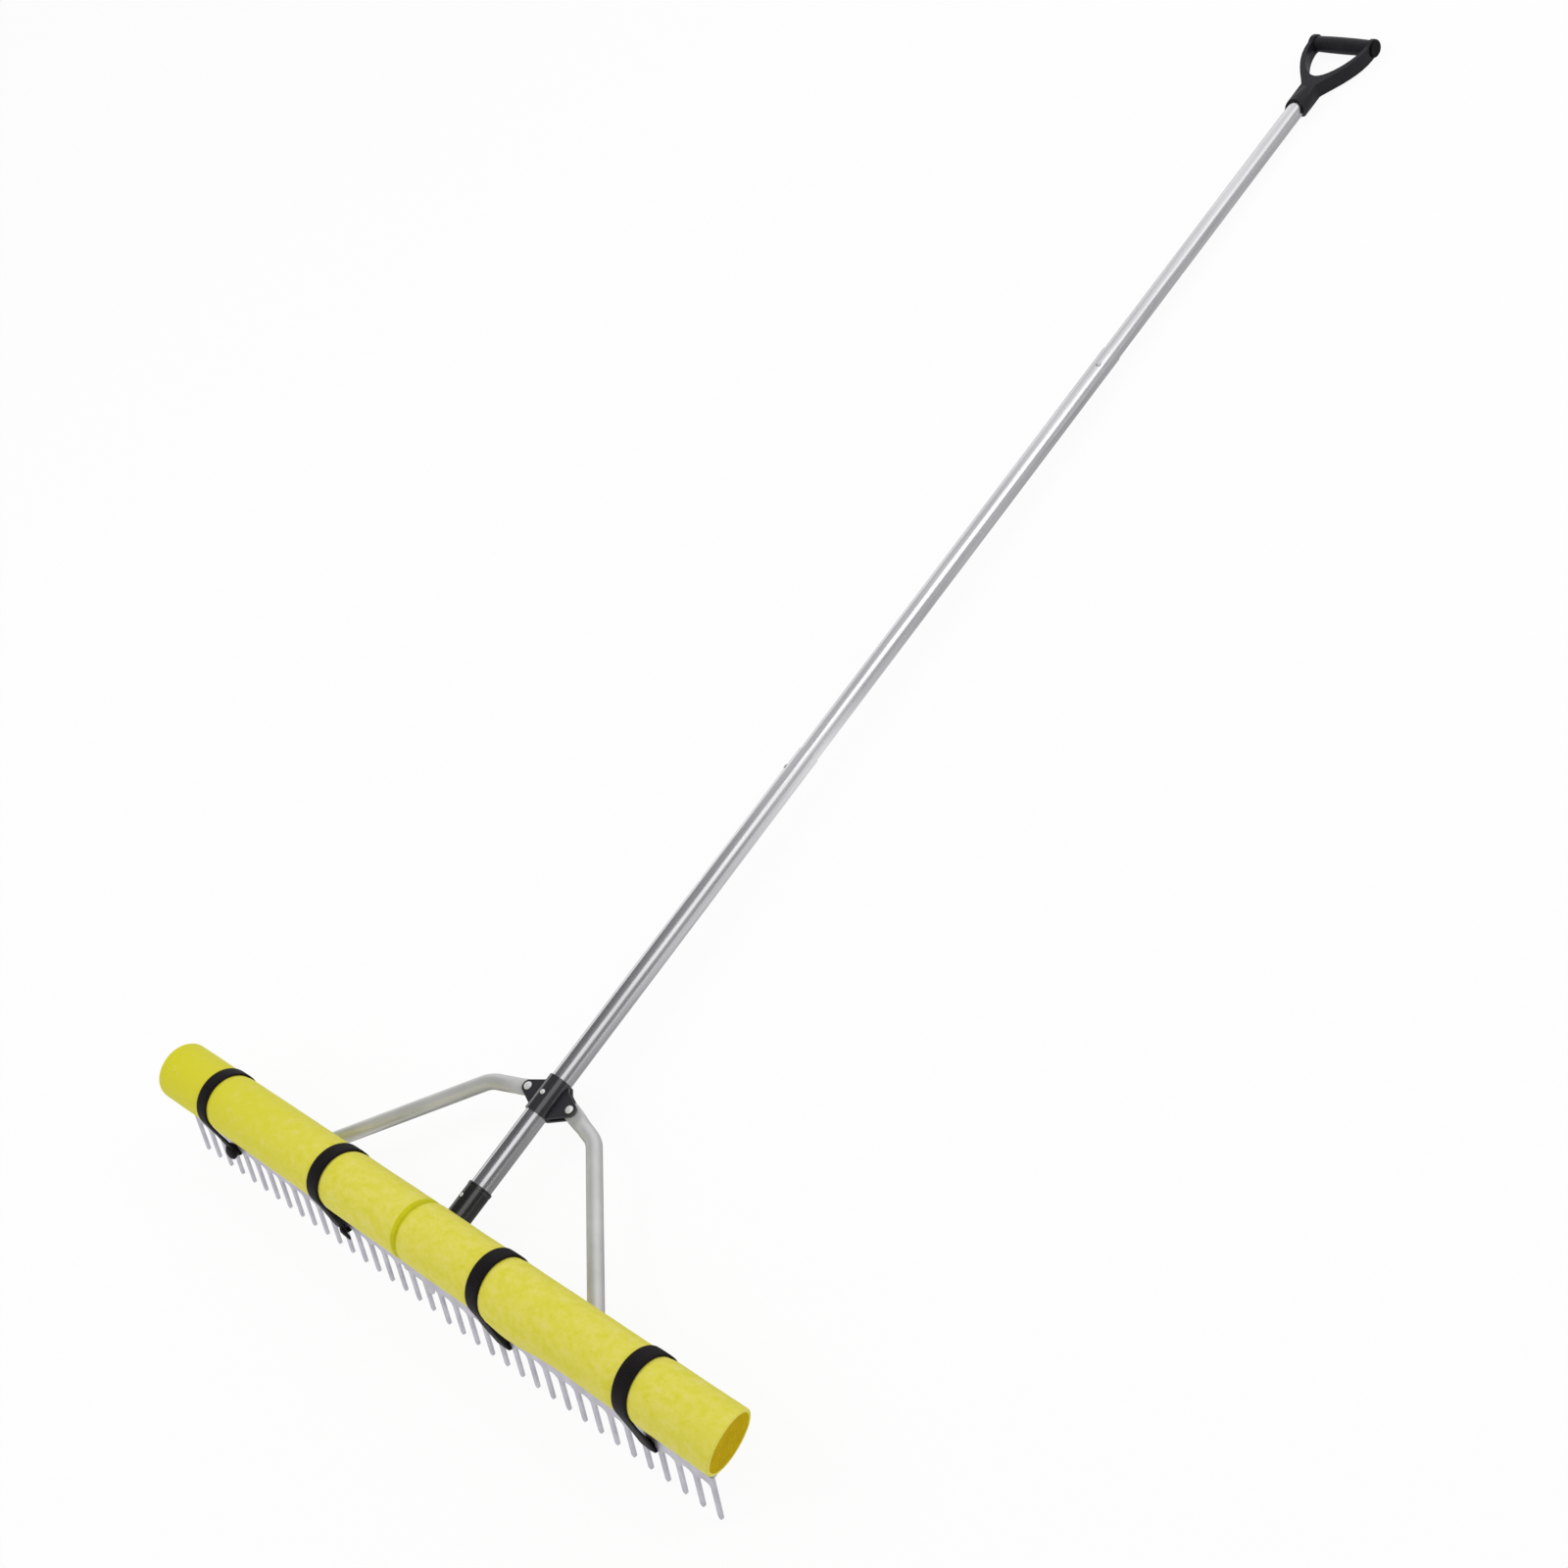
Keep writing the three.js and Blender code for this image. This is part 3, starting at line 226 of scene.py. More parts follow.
def head_middle() -> float:
    """Finds the head's middle, halfway between the two brace bolts.

    Returns:
        Its X in metres.
    """
    left_low, left_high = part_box("brace_bolt_left")
    right_low, right_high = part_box("brace_bolt_right")
    return (left_low.x + left_high.x + right_low.x + right_high.x) / 4


def pole_matrix() -> Matrix:
    """Finds how the pole lies: its slope from the slide's axis, its place from the float's solid.

    Returns:
        The matrix from the pole's own frame to the row frame, in metres.
    """
    axis = next(j["axis"] for j in frame["joints"] if j["name"] == "lower_slide")
    turn = Euler((math.atan2(axis[2], axis[1]), 0, 0)).to_matrix().to_4x4()
    low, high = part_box("float_right")
    centre = (low + high) / 2
    middle = turn @ Vector((0, FLOAT_ALONG * MM, FLOAT_UP * MM))
    return Matrix.Translation((head_middle(), centre.y - middle.y, centre.z - middle.z)) @ turn


POLE = pole_matrix()
TILT = POLE.to_euler().x


def from_pole(x: float, along: float, up: float) -> Vector:
    """Turns millimetres along the head, along the pole and square to both into a place in the row frame."""
    return POLE @ (Vector((x, along, up)) * MM)


# Finishes


@dataclass(frozen=True)
class Finish:
    """A surface: what the piece is made of and how it was made."""

    name: str
    colour: str
    roughness: float
    metallic: float = 0.0
    ior: float = 1.5

    def pattern(self, tree: Tree, place: Socket) -> dict:
        """Gives the shader inputs that vary over the surface.

        Args:
            tree: The material's node tree.
            place: Object coordinates in metres.

        Returns:
            Shader inputs by socket name.
        """
        return {}

    def constants(self) -> dict:
        """Gives the shader inputs that are the same all over."""
        return {}

    def varied(
        self, tree: Tree, by: Sequence, rough: Sequence[float], tone: Sequence, relief: Sequence[float]
    ) -> dict:
        """Varies roughness, colour and relief, each by a pattern.

        Args:
            tree: The material's node tree.
            by: The patterns for the roughness, the colour and the relief.
            rough: Two values of its pattern, then the roughness at each.
            tone: Two values of its pattern, then the most that the other colour takes, and that colour.
            relief: Depth in millimetres, and strength.

        Returns:
            Shader inputs by socket name.
        """
        low, high, least, most = rough
        gloss = add(tree, "ShaderNodeMapRange", {
            "Value": by[0], "From Min": low, "From Max": high, "To Min": least, "To Max": most,
        })
        share = add(tree, "ShaderNodeMapRange", {
            "Value": by[1], "From Min": tone[0], "From Max": tone[1], "To Max": tone[2],
        })
        blend = add(tree, "ShaderNodeMix", {
            0: share, 6: linear(self.colour), 7: linear(tone[3]),
        }, data_type="RGBA")
        bump = add(tree, "ShaderNodeBump", {
            "Height": by[2], "Distance": relief[0] * MM, "Strength": relief[1],
        })
        return {"Roughness": gloss, "Base Color": blend, "Normal": bump}

    def build(self) -> bpy.types.Material:
        """Makes the material.

        Returns:
            The material, with one Principled shader.
        """
        material, tree = empty_material(self.name)
        place = add(tree, "ShaderNodeTexCoord").outputs["Object"]
        values = {
            "Base Color": linear(self.colour),
            "Roughness": self.roughness,
            "Metallic": self.metallic,
            "IOR": self.ior,
            **self.constants(),
            **self.pattern(tree, place),
        }
        add(tree, "ShaderNodeOutputMaterial", {"Surface": add(tree, "ShaderNodeBsdfPrincipled", values)})
        material.diffuse_color = linear(self.colour)
        return material


@dataclass(frozen=True)
class DrawnAluminium(Finish):
    """Aluminium tube as drawn, polished lengthwise: bright, with fine lines that streak its reflections."""

    tilt: float = TILT
    line_mm: float = 0.6  # real draw lines are finer; drawn this coarse so that they show
    worn: str = "D2D2D6"

    def pattern(self, tree: Tree, place: Socket) -> dict:
        """Draws lines along the tube, with a slow change in tone from handling.

        Args:
            tree: The material's node tree.
            place: Object coordinates in metres.

        Returns:
            Shader inputs by socket name.
        """
        turned = add(tree, "ShaderNodeVectorRotate", {
            "Vector": place, "Angle": -self.tilt,
        }, rotation_type="X_AXIS")
        across = 1 / (self.line_mm * MM)
        noises = []
        for stretch, detail in (((across, 3, across), 3.0), ((160, 5, 160), 4.0)):
            long_way = add(tree, "ShaderNodeVectorMath", {0: turned, 1: stretch}, operation="MULTIPLY")
            noises.append(add(tree, "ShaderNodeTexNoise", {
                "Vector": long_way, "Scale": 1.0, "Detail": detail,
            }))
        lines, cloud = noises
        rough = (0.3, 0.7, self.roughness - 0.03, self.roughness + 0.05)
        return self.varied(tree, (lines, cloud, lines), rough, (0.42, 0.7, 1.0, self.worn), (0.01, 0.1))


@dataclass(frozen=True, kw_only=True)
class CloudedMetal(Finish):
    """Metal with grain in its gloss and soft patches in its tone."""

    grain: Pair  # size in millimetres and detail
    patch: Pair
    rougher: float  # what the grain adds to the roughness
    patched: float  # how strong a patch is where it has the duller colour
    strength: float
    duller: str

    def pattern(self, tree: Tree, place: Socket) -> dict:
        """Lays the grain and the patches.

        Args:
            tree: The material's node tree.
            place: Object coordinates in metres.

        Returns:
            Shader inputs by socket name.
        """
        grain, patch = (
            add(tree, "ShaderNodeTexNoise", {"Vector": place, "Scale": 1 / (size * MM), "Detail": detail})
            for size, detail in (self.grain, self.patch)
        )
        rough = (0.3, 0.7, self.roughness - 0.08, self.roughness + self.rougher)
        tone = (0.35, self.patched, 1.0, self.duller)
        return self.varied(tree, (grain, patch, grain), rough, tone, (0.02, self.strength))


@dataclass(frozen=True, kw_only=True)
class SatinAluminium(CloudedMetal):
    """Aluminium after tumbling or matt anodising: even grey, a wide soft highlight and slight clouding."""

    grain: Pair = (0.6, 2.0)
    patch: Pair = (18.0, 5.0)
    rougher: float = 0.1
    patched: float = 0.65
    strength: float = 0.5


@dataclass(frozen=True, kw_only=True)
class PlatedSteel(CloudedMetal):
    """Zinc-plated steel, barrel plated: bright, slightly clouded by the bath and faintly cold in tone."""

    grain: Pair = (2.5, 4.0)
    patch: Pair = (2.5, 4.0)
    rougher: float = 0.15
    patched: float = 0.7
    strength: float = 0.4


@dataclass(frozen=True)
class MouldedPlastic(Finish):
    """Injection-moulded plastic with a fine spark-eroded mould texture: a broken, satin highlight."""

    texture_mm: float = 0.9
    depth_mm: float = 0.03
    scuffed: str = "302E33"
    scuff_mm: float = 9.0
    gloss: float = 0.5

    def constants(self) -> dict:
        """A worn mould texture reflects less than polished plastic does."""
        return {"Specular IOR Level": self.gloss}

    def pattern(self, tree: Tree, place: Socket) -> dict:
        """Puts in the mould texture, and paler scuffs where it is handled.

        Args:
            tree: The material's node tree.
            place: Object coordinates in metres.

        Returns:
            Shader inputs by socket name.
        """
        grain = add(tree, "ShaderNodeTexVoronoi", {
            "Vector": place, "Scale": 1 / (self.texture_mm * MM),
        }, feature="SMOOTH_F1")
        scuff = add(tree, "ShaderNodeTexNoise", {
            "Vector": place, "Scale": 1 / (self.scuff_mm * MM), "Detail": 6.0, "Roughness": 0.65,
        })
        rough = (0.3, 0.75, self.roughness * 0.9, self.roughness * 1.25)
        tone = (0.5, 0.8, 0.5, self.scuffed)
        return self.varied(tree, (scuff, scuff, grain), rough, tone, (self.depth_mm, 0.6))


@dataclass(frozen=True, kw_only=True)
class FoamSkin(Finish):
    """Extruded polyethylene foam: a waxy closed-cell skin with a slight mottle and soft light inside."""

    cell_mm: float = 1.6
    dent_mm: float = 14.0
    deeper: str
    left_end_colour: str
    speck: str
    tone_start: float = -0.50
    tone_end: float = -0.12

    def constants(self) -> dict:
        """Light passes a few millimetres into the foam."""
        return {
            "Subsurface Weight": 0.2,
            "Subsurface Scale": 0.006,
            "Subsurface Radius": (1.0, 0.9, 0.25),
            "Specular IOR Level": 0.3,
        }

    def pattern(self, tree: Tree, place: Socket) -> dict:
        """Makes cells as a shallow bump, patches of denser skin, and a deeper colour towards the left end.

        Args:
            tree: The material's node tree.
            place: Object coordinates in metres.

        Returns:
            Shader inputs by socket name.
        """
        cells = add(tree, "ShaderNodeTexVoronoi", {
            "Vector": place, "Scale": 1 / (self.cell_mm * MM),
        }, feature="SMOOTH_F1")
        dents = add(tree, "ShaderNodeTexNoise", {
            "Vector": place, "Scale": 1 / (self.dent_mm * MM), "Detail": 4.0,
        })
        long_way = add(tree, "ShaderNodeVectorMath", {0: place, 1: (75, 95, 95)}, operation="MULTIPLY")
        patch = add(tree, "ShaderNodeTexNoise", {
            "Vector": long_way, "Scale": 1.0, "Detail": 7.0, "Roughness": 0.72,
        })
        # Deeper colour towards the float's left end.
        toward_left_end = add(tree, "ShaderNodeMapRange", {
            "Value": add(tree, "ShaderNodeSeparateXYZ", {0: place}).outputs["X"],
            "From Min": self.tone_start, "From Max": self.tone_end,
        })
        dense = add(tree, "ShaderNodeMapRange", {"Value": patch, "From Min": 0.42, "From Max": 0.68})
        pale = add(tree, "ShaderNodeMapRange", {
            "Value": patch, "From Min": 0.42, "From Max": 0.3, "To Max": 0.55,
        })
        ground = add(tree, "ShaderNodeMix", {
            0: toward_left_end, 6: linear(self.left_end_colour), 7: linear(self.colour),
        }, data_type="RGBA")
        mottled = add(tree, "ShaderNodeMix", {0: dense, 6: ground, 7: linear(self.deeper)}, data_type="RGBA")
        tone = add(tree, "ShaderNodeMix", {0: pale, 6: mottled, 7: linear(self.speck)}, data_type="RGBA")
        height = add(tree, "ShaderNodeMath", {0: dents, 1: cells}, operation="ADD")
        relief = add(tree, "ShaderNodeBump", {"Height": height, "Distance": 0.35 * MM, "Strength": 0.5})
        return {"Base Color": tone, "Normal": relief}


@dataclass(frozen=True)
class CutFoam(Finish):
    """The same foam where it is sawn across: open cells, quite matt, and deepened by painted shade."""

    cell_mm: float = 2.0  # real cells are about 1 mm; drawn this coarse so that they show
    streak_mm: float = 16.0
    # painted shade in the pits of the open cells
    pit_shade: str = "A88A00"

    def constants(self) -> dict:
        """Light passes a few millimetres into the foam."""
        return {
            "Subsurface Weight": 0.06,
            "Subsurface Scale": 0.003,
            "Subsurface Radius": (1.0, 0.8, 0.1),
            "Specular IOR Level": 0.04,
        }

    def pattern(self, tree: Tree, place: Socket) -> dict:
        """Makes open cells with painted shade in their pits, and broad streaks from the saw.

        Args:
            tree: The material's node tree.
            place: Object coordinates in metres.

        Returns:
            Shader inputs by socket name.
        """
        cells = add(tree, "ShaderNodeTexVoronoi", {"Vector": place, "Scale": 1 / (self.cell_mm * MM)})
        streak = add(tree, "ShaderNodeTexNoise", {
            "Vector": place, "Scale": 1 / (self.streak_mm * MM), "Detail": 3.0,
        })
        both = add(tree, "ShaderNodeMath", {0: cells, 1: streak}, operation="MULTIPLY")
        share = add(tree, "ShaderNodeMapRange", {
            "Value": both, "From Min": 0.05, "From Max": 0.4, "To Min": 0.5, "To Max": 0.0,
        })
        tone = add(tree, "ShaderNodeMix", {
            0: share, 6: linear(self.colour), 7: linear(self.pit_shade),
        }, data_type="RGBA")
        relief = add(tree, "ShaderNodeBump", {"Height": cells, "Distance": 0.5 * MM, "Strength": 0.8})
        return {"Base Color": tone, "Normal": relief}


@dataclass(frozen=True)
class WovenWebbing(Finish):
    """Polypropylene webbing: a rib of crossing yarns about 1.2 mm apart, slightly shiny along each yarn."""

    yarn_mm: float = 1.2
    shade: str = "0A0707"
    fibre: str = "5A5560"

    def constants(self) -> dict:
        """Loose fibre ends catch a little light at the edge."""
        return {
            "Sheen Weight": 0.08,
            "Sheen Roughness": 0.5,
            "Sheen Tint": linear(self.fibre),
            "Specular IOR Level": 0.25,
        }

    def pattern(self, tree: Tree, place: Socket) -> dict:
        """Crosses two waves over the strap's own length and width, from its UV map in millimetres.

        Args:
            tree: The material's node tree.
            place: Object coordinates in metres, which the webbing doesn't need.

        Returns:
            Shader inputs by socket name.
        """
        uv = add(tree, "ShaderNodeUVMap", uv_map="length_width")
        along, across = (
            add(tree, "ShaderNodeTexWave", {
                "Vector": uv, "Scale": math.pi / (20 * self.yarn_mm),
            }, bands_direction=way).outputs["Fac"]
            for way in "XY"
        )
        height = add(tree, "ShaderNodeMath", {0: along, 1: across}, operation="MULTIPLY")
        # The shade colour fills the dips between the yarns: painted shade.
        tone = add(tree, "ShaderNodeMix", {
            0: height, 6: linear(self.shade), 7: linear(self.colour),
        }, data_type="RGBA")
        relief = add(tree, "ShaderNodeBump", {"Height": height, "Distance": 0.4 * MM, "Strength": 0.9})
        return {"Base Color": tone, "Normal": relief}


FINISHES: dict[str, Finish] = {
    "comb": SatinAluminium("tumbled_aluminium_sheet", "C8C6CF", 0.42, metallic=0.6, duller="B5B3BC"),
    "tube": DrawnAluminium("drawn_aluminium_tube", "EFEFF2", 0.24, metallic=1.0),
    "brace": SatinAluminium(
        "matt_anodised_aluminium", "D9D9D9", 0.42,
        metallic=0.45, grain=(0.8, 2.0), patch=(45.0, 5.0), duller="CCCDCC",
    ),
    "ferrule": MouldedPlastic(
        "moulded_black_nylon", "0D0B0F", 0.22,
        ior=1.6, texture_mm=0.7, depth_mm=0.004, scuffed="19171B", gloss=1.0,
    ),
    "clamp": MouldedPlastic(
        "glass_filled_nylon", "28262C", 0.17, ior=1.6, depth_mm=0.006, scuffed="333138", gloss=1.0
    ),
    "handle": MouldedPlastic("moulded_polypropylene", "232227", 0.4, texture_mm=1.1, gloss=0.18),
    "cap": MouldedPlastic(
        "moulded_cap_polypropylene", "09090B", 0.3, texture_mm=0.8, scuffed="121114", gloss=0.1
    ),
    "plug": MouldedPlastic("moulded_acetal", "1A191C", 0.4),
    "bolt": PlatedSteel("zinc_plated_steel", "F0F0F2", 0.3, metallic=0.35, duller="E2E2E2"),
    "spring": PlatedSteel("spring_temper_steel", "D6D6DA", 0.3, metallic=0.5, duller="C0C0C4"),
    "foam": FoamSkin(
        "extruded_polyethylene_foam", "E6DD5E", 0.62, deeper="DDD630", left_end_colour="D9D300", speck="E9DB92"
    ),
    # The seam groove: the foam's colours darkened with painted shade.
    "seam": FoamSkin(
        "seam_foam_painted_shade", "D0CC00", 0.6, deeper="C6C100", left_end_colour="D0CC00", speck="DAD630"
    ),
    # Sawn ends: their deeper ochre is painted shade.
    "cut_foam": CutFoam("sawn_foam_painted_shade", "CCAE00", 0.8),
    "webbing": WovenWebbing("woven_polypropylene_webbing", "1C1415", 0.75),
}


# The float

SKIN, SAWN, SEAM = range(3)  # material slots of the foam


def by_side(left: object, right: object) -> dict:
    """Makes a dataclass field that differs between the two halves."""
    return field(default_factory=lambda: {Side.LEFT: left, Side.RIGHT: right})


@dataclass
class Float:
    """Two foam cylinders end to end, squeezed where the straps hold them down. Sizes in millimetres."""

    radius: float = FOAM_RADIUS
    half_length: float = 472.0
    shift: float = 6.0  # the seam lies right of the head's middle
    seam_width: float = 5.5
    seam_depth: float = 2.4
    seam_rings: tuple[float, ...] = (0.35, 1.2, 2.5, 4.0, 5.5)
    edge: dict[Side, float] = by_side(6.0, 1.6)
    edge_shares: tuple[float, ...] = (0.0, 0.04, 0.12, 0.25, 0.45, 0.7, 1.0)
    end_reach: dict[Side, float] = by_side(0.0, 2.5)
    end_lean: dict[Side, float] = by_side(-3.0, 12.5)
    end_turn: dict[Side, float] = by_side(0.0, -2.0)
    end_length: float = 60.0  # over which the slant of the end begins
    face_shares: tuple[float, ...] = (0.94, 0.9, 0.6, 0.3)  # rings of a sawn face; skin outside the first
    dish_depth: float = 0.35
    strap_places: dict[Side, Pair] = by_side((141.5, 366.5), (138.5, 365.0))
    strap_width: float = 18.0
    squeeze: float = 1.1
    squeeze_reach: float = 9.0
    belly: float = 4.0  # the right half bulges over the comb beside its inner strap
    belly_place: float = 190.0
    belly_width: float = 38.0
    lump: float = 0.28
    fine_lump: float = 0.1
    lump_length: float = 60.0
    most_lump: float = 0.25
    step: float = 4.0
    sides: int = 96

    def radius_at(self, side: Side, x: float) -> float:
        """Gives the foam's radius at a distance from the head's middle.

        Args:
            side: Which half.
            x: Distance from the head's middle, towards the half's outer end.

        Returns:
            The radius: down at the seam, in under a strap, round at the outer end.
        """
        size = self.radius
        from_seam = x - side.value * self.shift
        if from_seam < self.seam_width:
            share = 1 - from_seam / self.seam_width
            size -= self.seam_depth * share * share
        for place in self.strap_places[side]:
            away = abs(x - place) - self.strap_width / 2
            if away < self.squeeze_reach:
                share = 1.0 if away < 0 else 0.5 + 0.5 * math.cos(math.pi * away / self.squeeze_reach)
                size -= self.squeeze * share
        edge = self.edge[side]
        to_end = self.half_length + side.value * self.shift - x
        if to_end < edge:
            size -= edge - math.sqrt(max(0.0, edge**2 - (edge - to_end) ** 2))
        return size

    def stations(self, side: Side) -> list[float]:
        """Lists where the skin of a half has a ring.

        Args:
            side: Which half.

        Returns:
            Distances from the head's middle, rising.
        """
        start = side.value * self.shift
        end = self.half_length + start
        edge = self.edge[side]
        places = {start + reach for reach in self.seam_rings}
        places.update(end - edge * share for share in self.edge_shares)
        x = start + self.seam_width + self.step
        while x < end - edge - 1:
            places.add(x)
            x += self.step
        return sorted(places)

    def ring_place(self, side: Side, x: float, angle: float) -> Vector:
        """Gives one point of the skin, with the outer end cut at a slant.

        Args:
            side: Which half.
            x: Distance from the head's middle.
            angle: Round the foam, from the back towards the top, in radians.

        Returns:
            The point in the row frame.
        """
        back, up = math.cos(angle), math.sin(angle)
        end = self.half_length + side.value * self.shift
        slant = self.end_reach[side] + self.end_lean[side] * up + self.end_turn[side] * back
        reach_x = x + slant * soft_step(x, end - self.end_length, end)
        place = Vector((x * side.value / self.lump_length, back * 1.2, up * 1.2))
        lump = self.lump * noise.noise(place) + self.fine_lump * noise.noise(place * 3.1)
        reach = min(self.radius_at(side, x) + lump, self.radius + self.most_lump)
        if side is Side.RIGHT:
            bulge = self.belly * math.exp(-(((x - self.belly_place) / self.belly_width) ** 2))
            reach += bulge * max(0.0, -back) ** 2
        return from_pole(reach_x * side.value, FLOAT_ALONG + reach * back, FLOAT_UP + reach * up)

    def close(self, bm: bmesh.types.BMesh, ring: Sequence, dish: Vector) -> None:
        """Closes an end with a rim of skin and a sawn face.

        Args:
            bm: The half's mesh.
            ring: The ring at that end.
            dish: How far the middle of the face lies in.
        """
        centre = sum((v.co for v in ring), Vector()) / len(ring)
        previous = ring
        for share in self.face_shares:
            inner = [bm.verts.new(centre + (v.co - centre) * share + dish * (1 - share)) for v in ring]
            for face in bridge(bm, previous, inner):
                face.material_index = SKIN if previous is ring else SAWN
            previous = inner
        bm.faces.new(previous).material_index = SAWN

    def half(self, side: Side, finishes: Sequence[bpy.types.Material]) -> bpy.types.Object:
        """Builds one foam cylinder.

        Args:
            side: Which end of the head.
            finishes: The skin, the sawn ends and the seam groove in painted shade, in that order.

        Returns:
            The piece, in place of its plain solid.
        """
        bm = bmesh.new()
        places = self.stations(side)
        angles = [2 * math.pi * i / self.sides for i in range(self.sides)]
        rings = [[bm.verts.new(self.ring_place(side, x, angle)) for angle in angles] for x in places]
        seam_end = side.value * self.shift + self.seam_width - 0.01
        for x, a, b in zip(places, rings, rings[1:]):
            for face in bridge(bm, a, b):
                face.material_index = SEAM if x < seam_end else SKIN
        self.close(bm, rings[0], Vector())
        self.close(bm, rings[-1], Vector((-side.value * self.dish_depth * MM, 0, 0)))
        made = mesh_object("foam_float_" + side.name.lower(), bm, finishes)
        smooth(made, 50)
        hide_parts("float_" + side.name.lower())
        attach(made, Body.HEAD.value)
        return made


# The straps

# Each tail's rings: how far on, half the width and half the thickness, in millimetres
TAIL_RINGS = {
    TailKind.BUNCHED: ((-9, 4, 2.5), (-6, 7.6, 4.8), (-1, 9.6, 6), (4, 8.8, 5.8), (7, 6, 4), (9, 2.5, 1.8)),
    TailKind.SIDEWAYS: (
        (0, 2, 1.2), (2, 3.6, 2), (9, 3.2, 1.9), (16, 2.9, 1.6), (21, 2.4, 1.3), (22, 1.2, 0.6),
    ),
    TailKind.CUT: ((-5, 7, 0.8), (-3, 8.6, 1.4), (1, 8.6, 1.5), (2.4, 8.2, 1.3), (2.8, 7.4, 0.7)),
    TailKind.FOLDED: ((-7, 5, 1.2), (-4, 7.4, 2.4), (0, 8, 3.2), (3, 7.4, 3), (5, 6, 2.2), (6, 3.5, 1)),
}

# Where each tail starts from the strap's foot: across and out, in millimetres
TAIL_STARTS = {
    TailKind.BUNCHED: (3.0, 2.0),
    TailKind.SIDEWAYS: (-5.0, 3.0),
    TailKind.CUT: (1.5, 0.0),
    TailKind.FOLDED: (2.0, 0.0),
}


@dataclass
class Strap:
    """A webbing strap round the foam and under the rail, its end doubled back. Sizes in millimetres."""

    number: int
    x: float
    width: float
    tail: TailKind
    lean: float = 0.0  # how far the back of the loop lies along X from its front
    drift: float = 0.0  # how far the foot of the front run is pulled along X
    thickness: float = 2.2
    doubled_out: float = 0.9
    doubled_in: float = 3.2
    squeeze: float = 0.75
    corner: float = 1.3
    arc_step: float = 2.5
    line_step: float = 3.0
    comb_lap: float = 1.65  # the right comb lies this much higher, the left one lower
    comb_lean: float = math.radians(24.5)
    arch_up: float = -8.3
    foot_below: float = 5.0  # the strap goes under the comb this far below its arch line
    edge_half: float = 1.5
    double_ahead: float = 12.0  # behind this place along the pole the webbing lies single
    double_fade: Pair = (34.0, 18.0)  # heights between which a change comes on
    inner_fade: Pair = (-5.0, 3.0)
    outer_fade: Pair = (-17.0, -12.0)
    drift_fade: Pair = (24.0, -10.0)
    drift_ahead: Pair = (26.0, 4.0)
    tail_foot: Pair = (-4.2, -7.5)
    tail_way: Pair = (-0.41, -0.91)
    rail_edge: Pair = (30.56, 1.71)
    tail_sides: int = 20

    def pegs(self) -> list[Triple]:
        """Lists what the strap is pulled round: the foam, then the corners of comb and rail.

        Returns:
            Round pegs as (along, up, radius).
        """
        side = 1 if self.x > 0 else -1
        ahead, down = math.sin(self.comb_lean), math.cos(self.comb_lean)
        shift = Vector((-side * self.comb_lap * (1 - ahead) / down, side * self.comb_lap))
        foot = Vector((0, self.arch_up)) + shift - Vector((ahead, down)) * self.foot_below
        back = Vector((down, -ahead)) * self.edge_half
        edge = Vector(self.rail_edge) + shift
        rise = Vector((0, self.edge_half))
        corners = [(c.x, c.y, self.corner) for c in (foot - back, foot + back, edge - rise, edge + rise)]
        return [(FLOAT_ALONG, FLOAT_UP, FOAM_RADIUS - self.squeeze), *corners]

    def loop(self) -> list[Vector]:
        """Finds the strap's inner line as the tight loop round its pegs.

        Returns:
            Points in the plane of the loop, anticlockwise, evenly dense on the round parts.
        """
        points = []
        for along, up, radius in self.pegs():
            count = max(12, int(2 * math.pi * radius / self.arc_step))
            turns = [2 * math.pi * i / count for i in range(count)]
            points += [(along + radius * math.cos(t), up + radius * math.sin(t)) for t in turns]
        points.sort()
        outline = [Vector(p) for p in outline_side(points) + outline_side(points[::-1])]
        dense = []
        for a, b in zip(outline, outline[1:] + outline[:1]):
            steps = max(1, int((b - a).length / self.line_step))
            dense += [a.lerp(b, i / steps) for i in range(steps)]
        return dense

    def layers_at(self, place: Vector) -> Pair:
        """Gives how far the webbing goes in and out: it is doubled on the run in front of the comb.

        Args:
            place: A point of the loop.

        Returns:
            The depth inside the loop's line and the depth outside it.
        """
        if place.x > self.double_ahead:
            return 0.0, self.thickness
        high = soft_step(place.y, *self.double_fade)
        inner = high * soft_step(place.y, *self.inner_fade)
        outer = high * soft_step(place.y, *self.outer_fade)
        return self.doubled_in * inner, self.thickness + self.doubled_out * outer

    def shift_at(self, place: Vector) -> float:
        """Gives how far the webbing lies along X from its nominal place: it was pulled tight by hand."""
        low = soft_step(place.y, *self.drift_fade) * soft_step(place.x, *self.drift_ahead)
        return self.lean * (place.x - FLOAT_ALONG) / FOAM_RADIUS + self.drift * low

    def section(self, inner: float, outer: float) -> list[Pair]:
        """Gives the webbing's section: flat inside, slightly crowned outside, with rounded selvedges.

        Args:
            inner: How deep it goes inside the loop's line.
            outer: How deep it goes outside.

        Returns:
            Points as (across, out).
        """
        half = self.width / 2
        brim = half - 0.6
        low = [(-half, 0.3), (-brim, 0.0), (-half / 2, 0.0), (0.0, 0.0), (half / 2, 0.0), (brim, 0.0)]
        high = [(half, 0.3), (half, 0.7), (brim, 1.0), (half / 2, 1.06), (0.0, 1.08), (-half / 2, 1.06)]
        whole = [*low, *high, (-brim, 1.0), (-half, 0.7)]
        return [(x, rise * (inner + outer) - inner) for x, rise in whole]

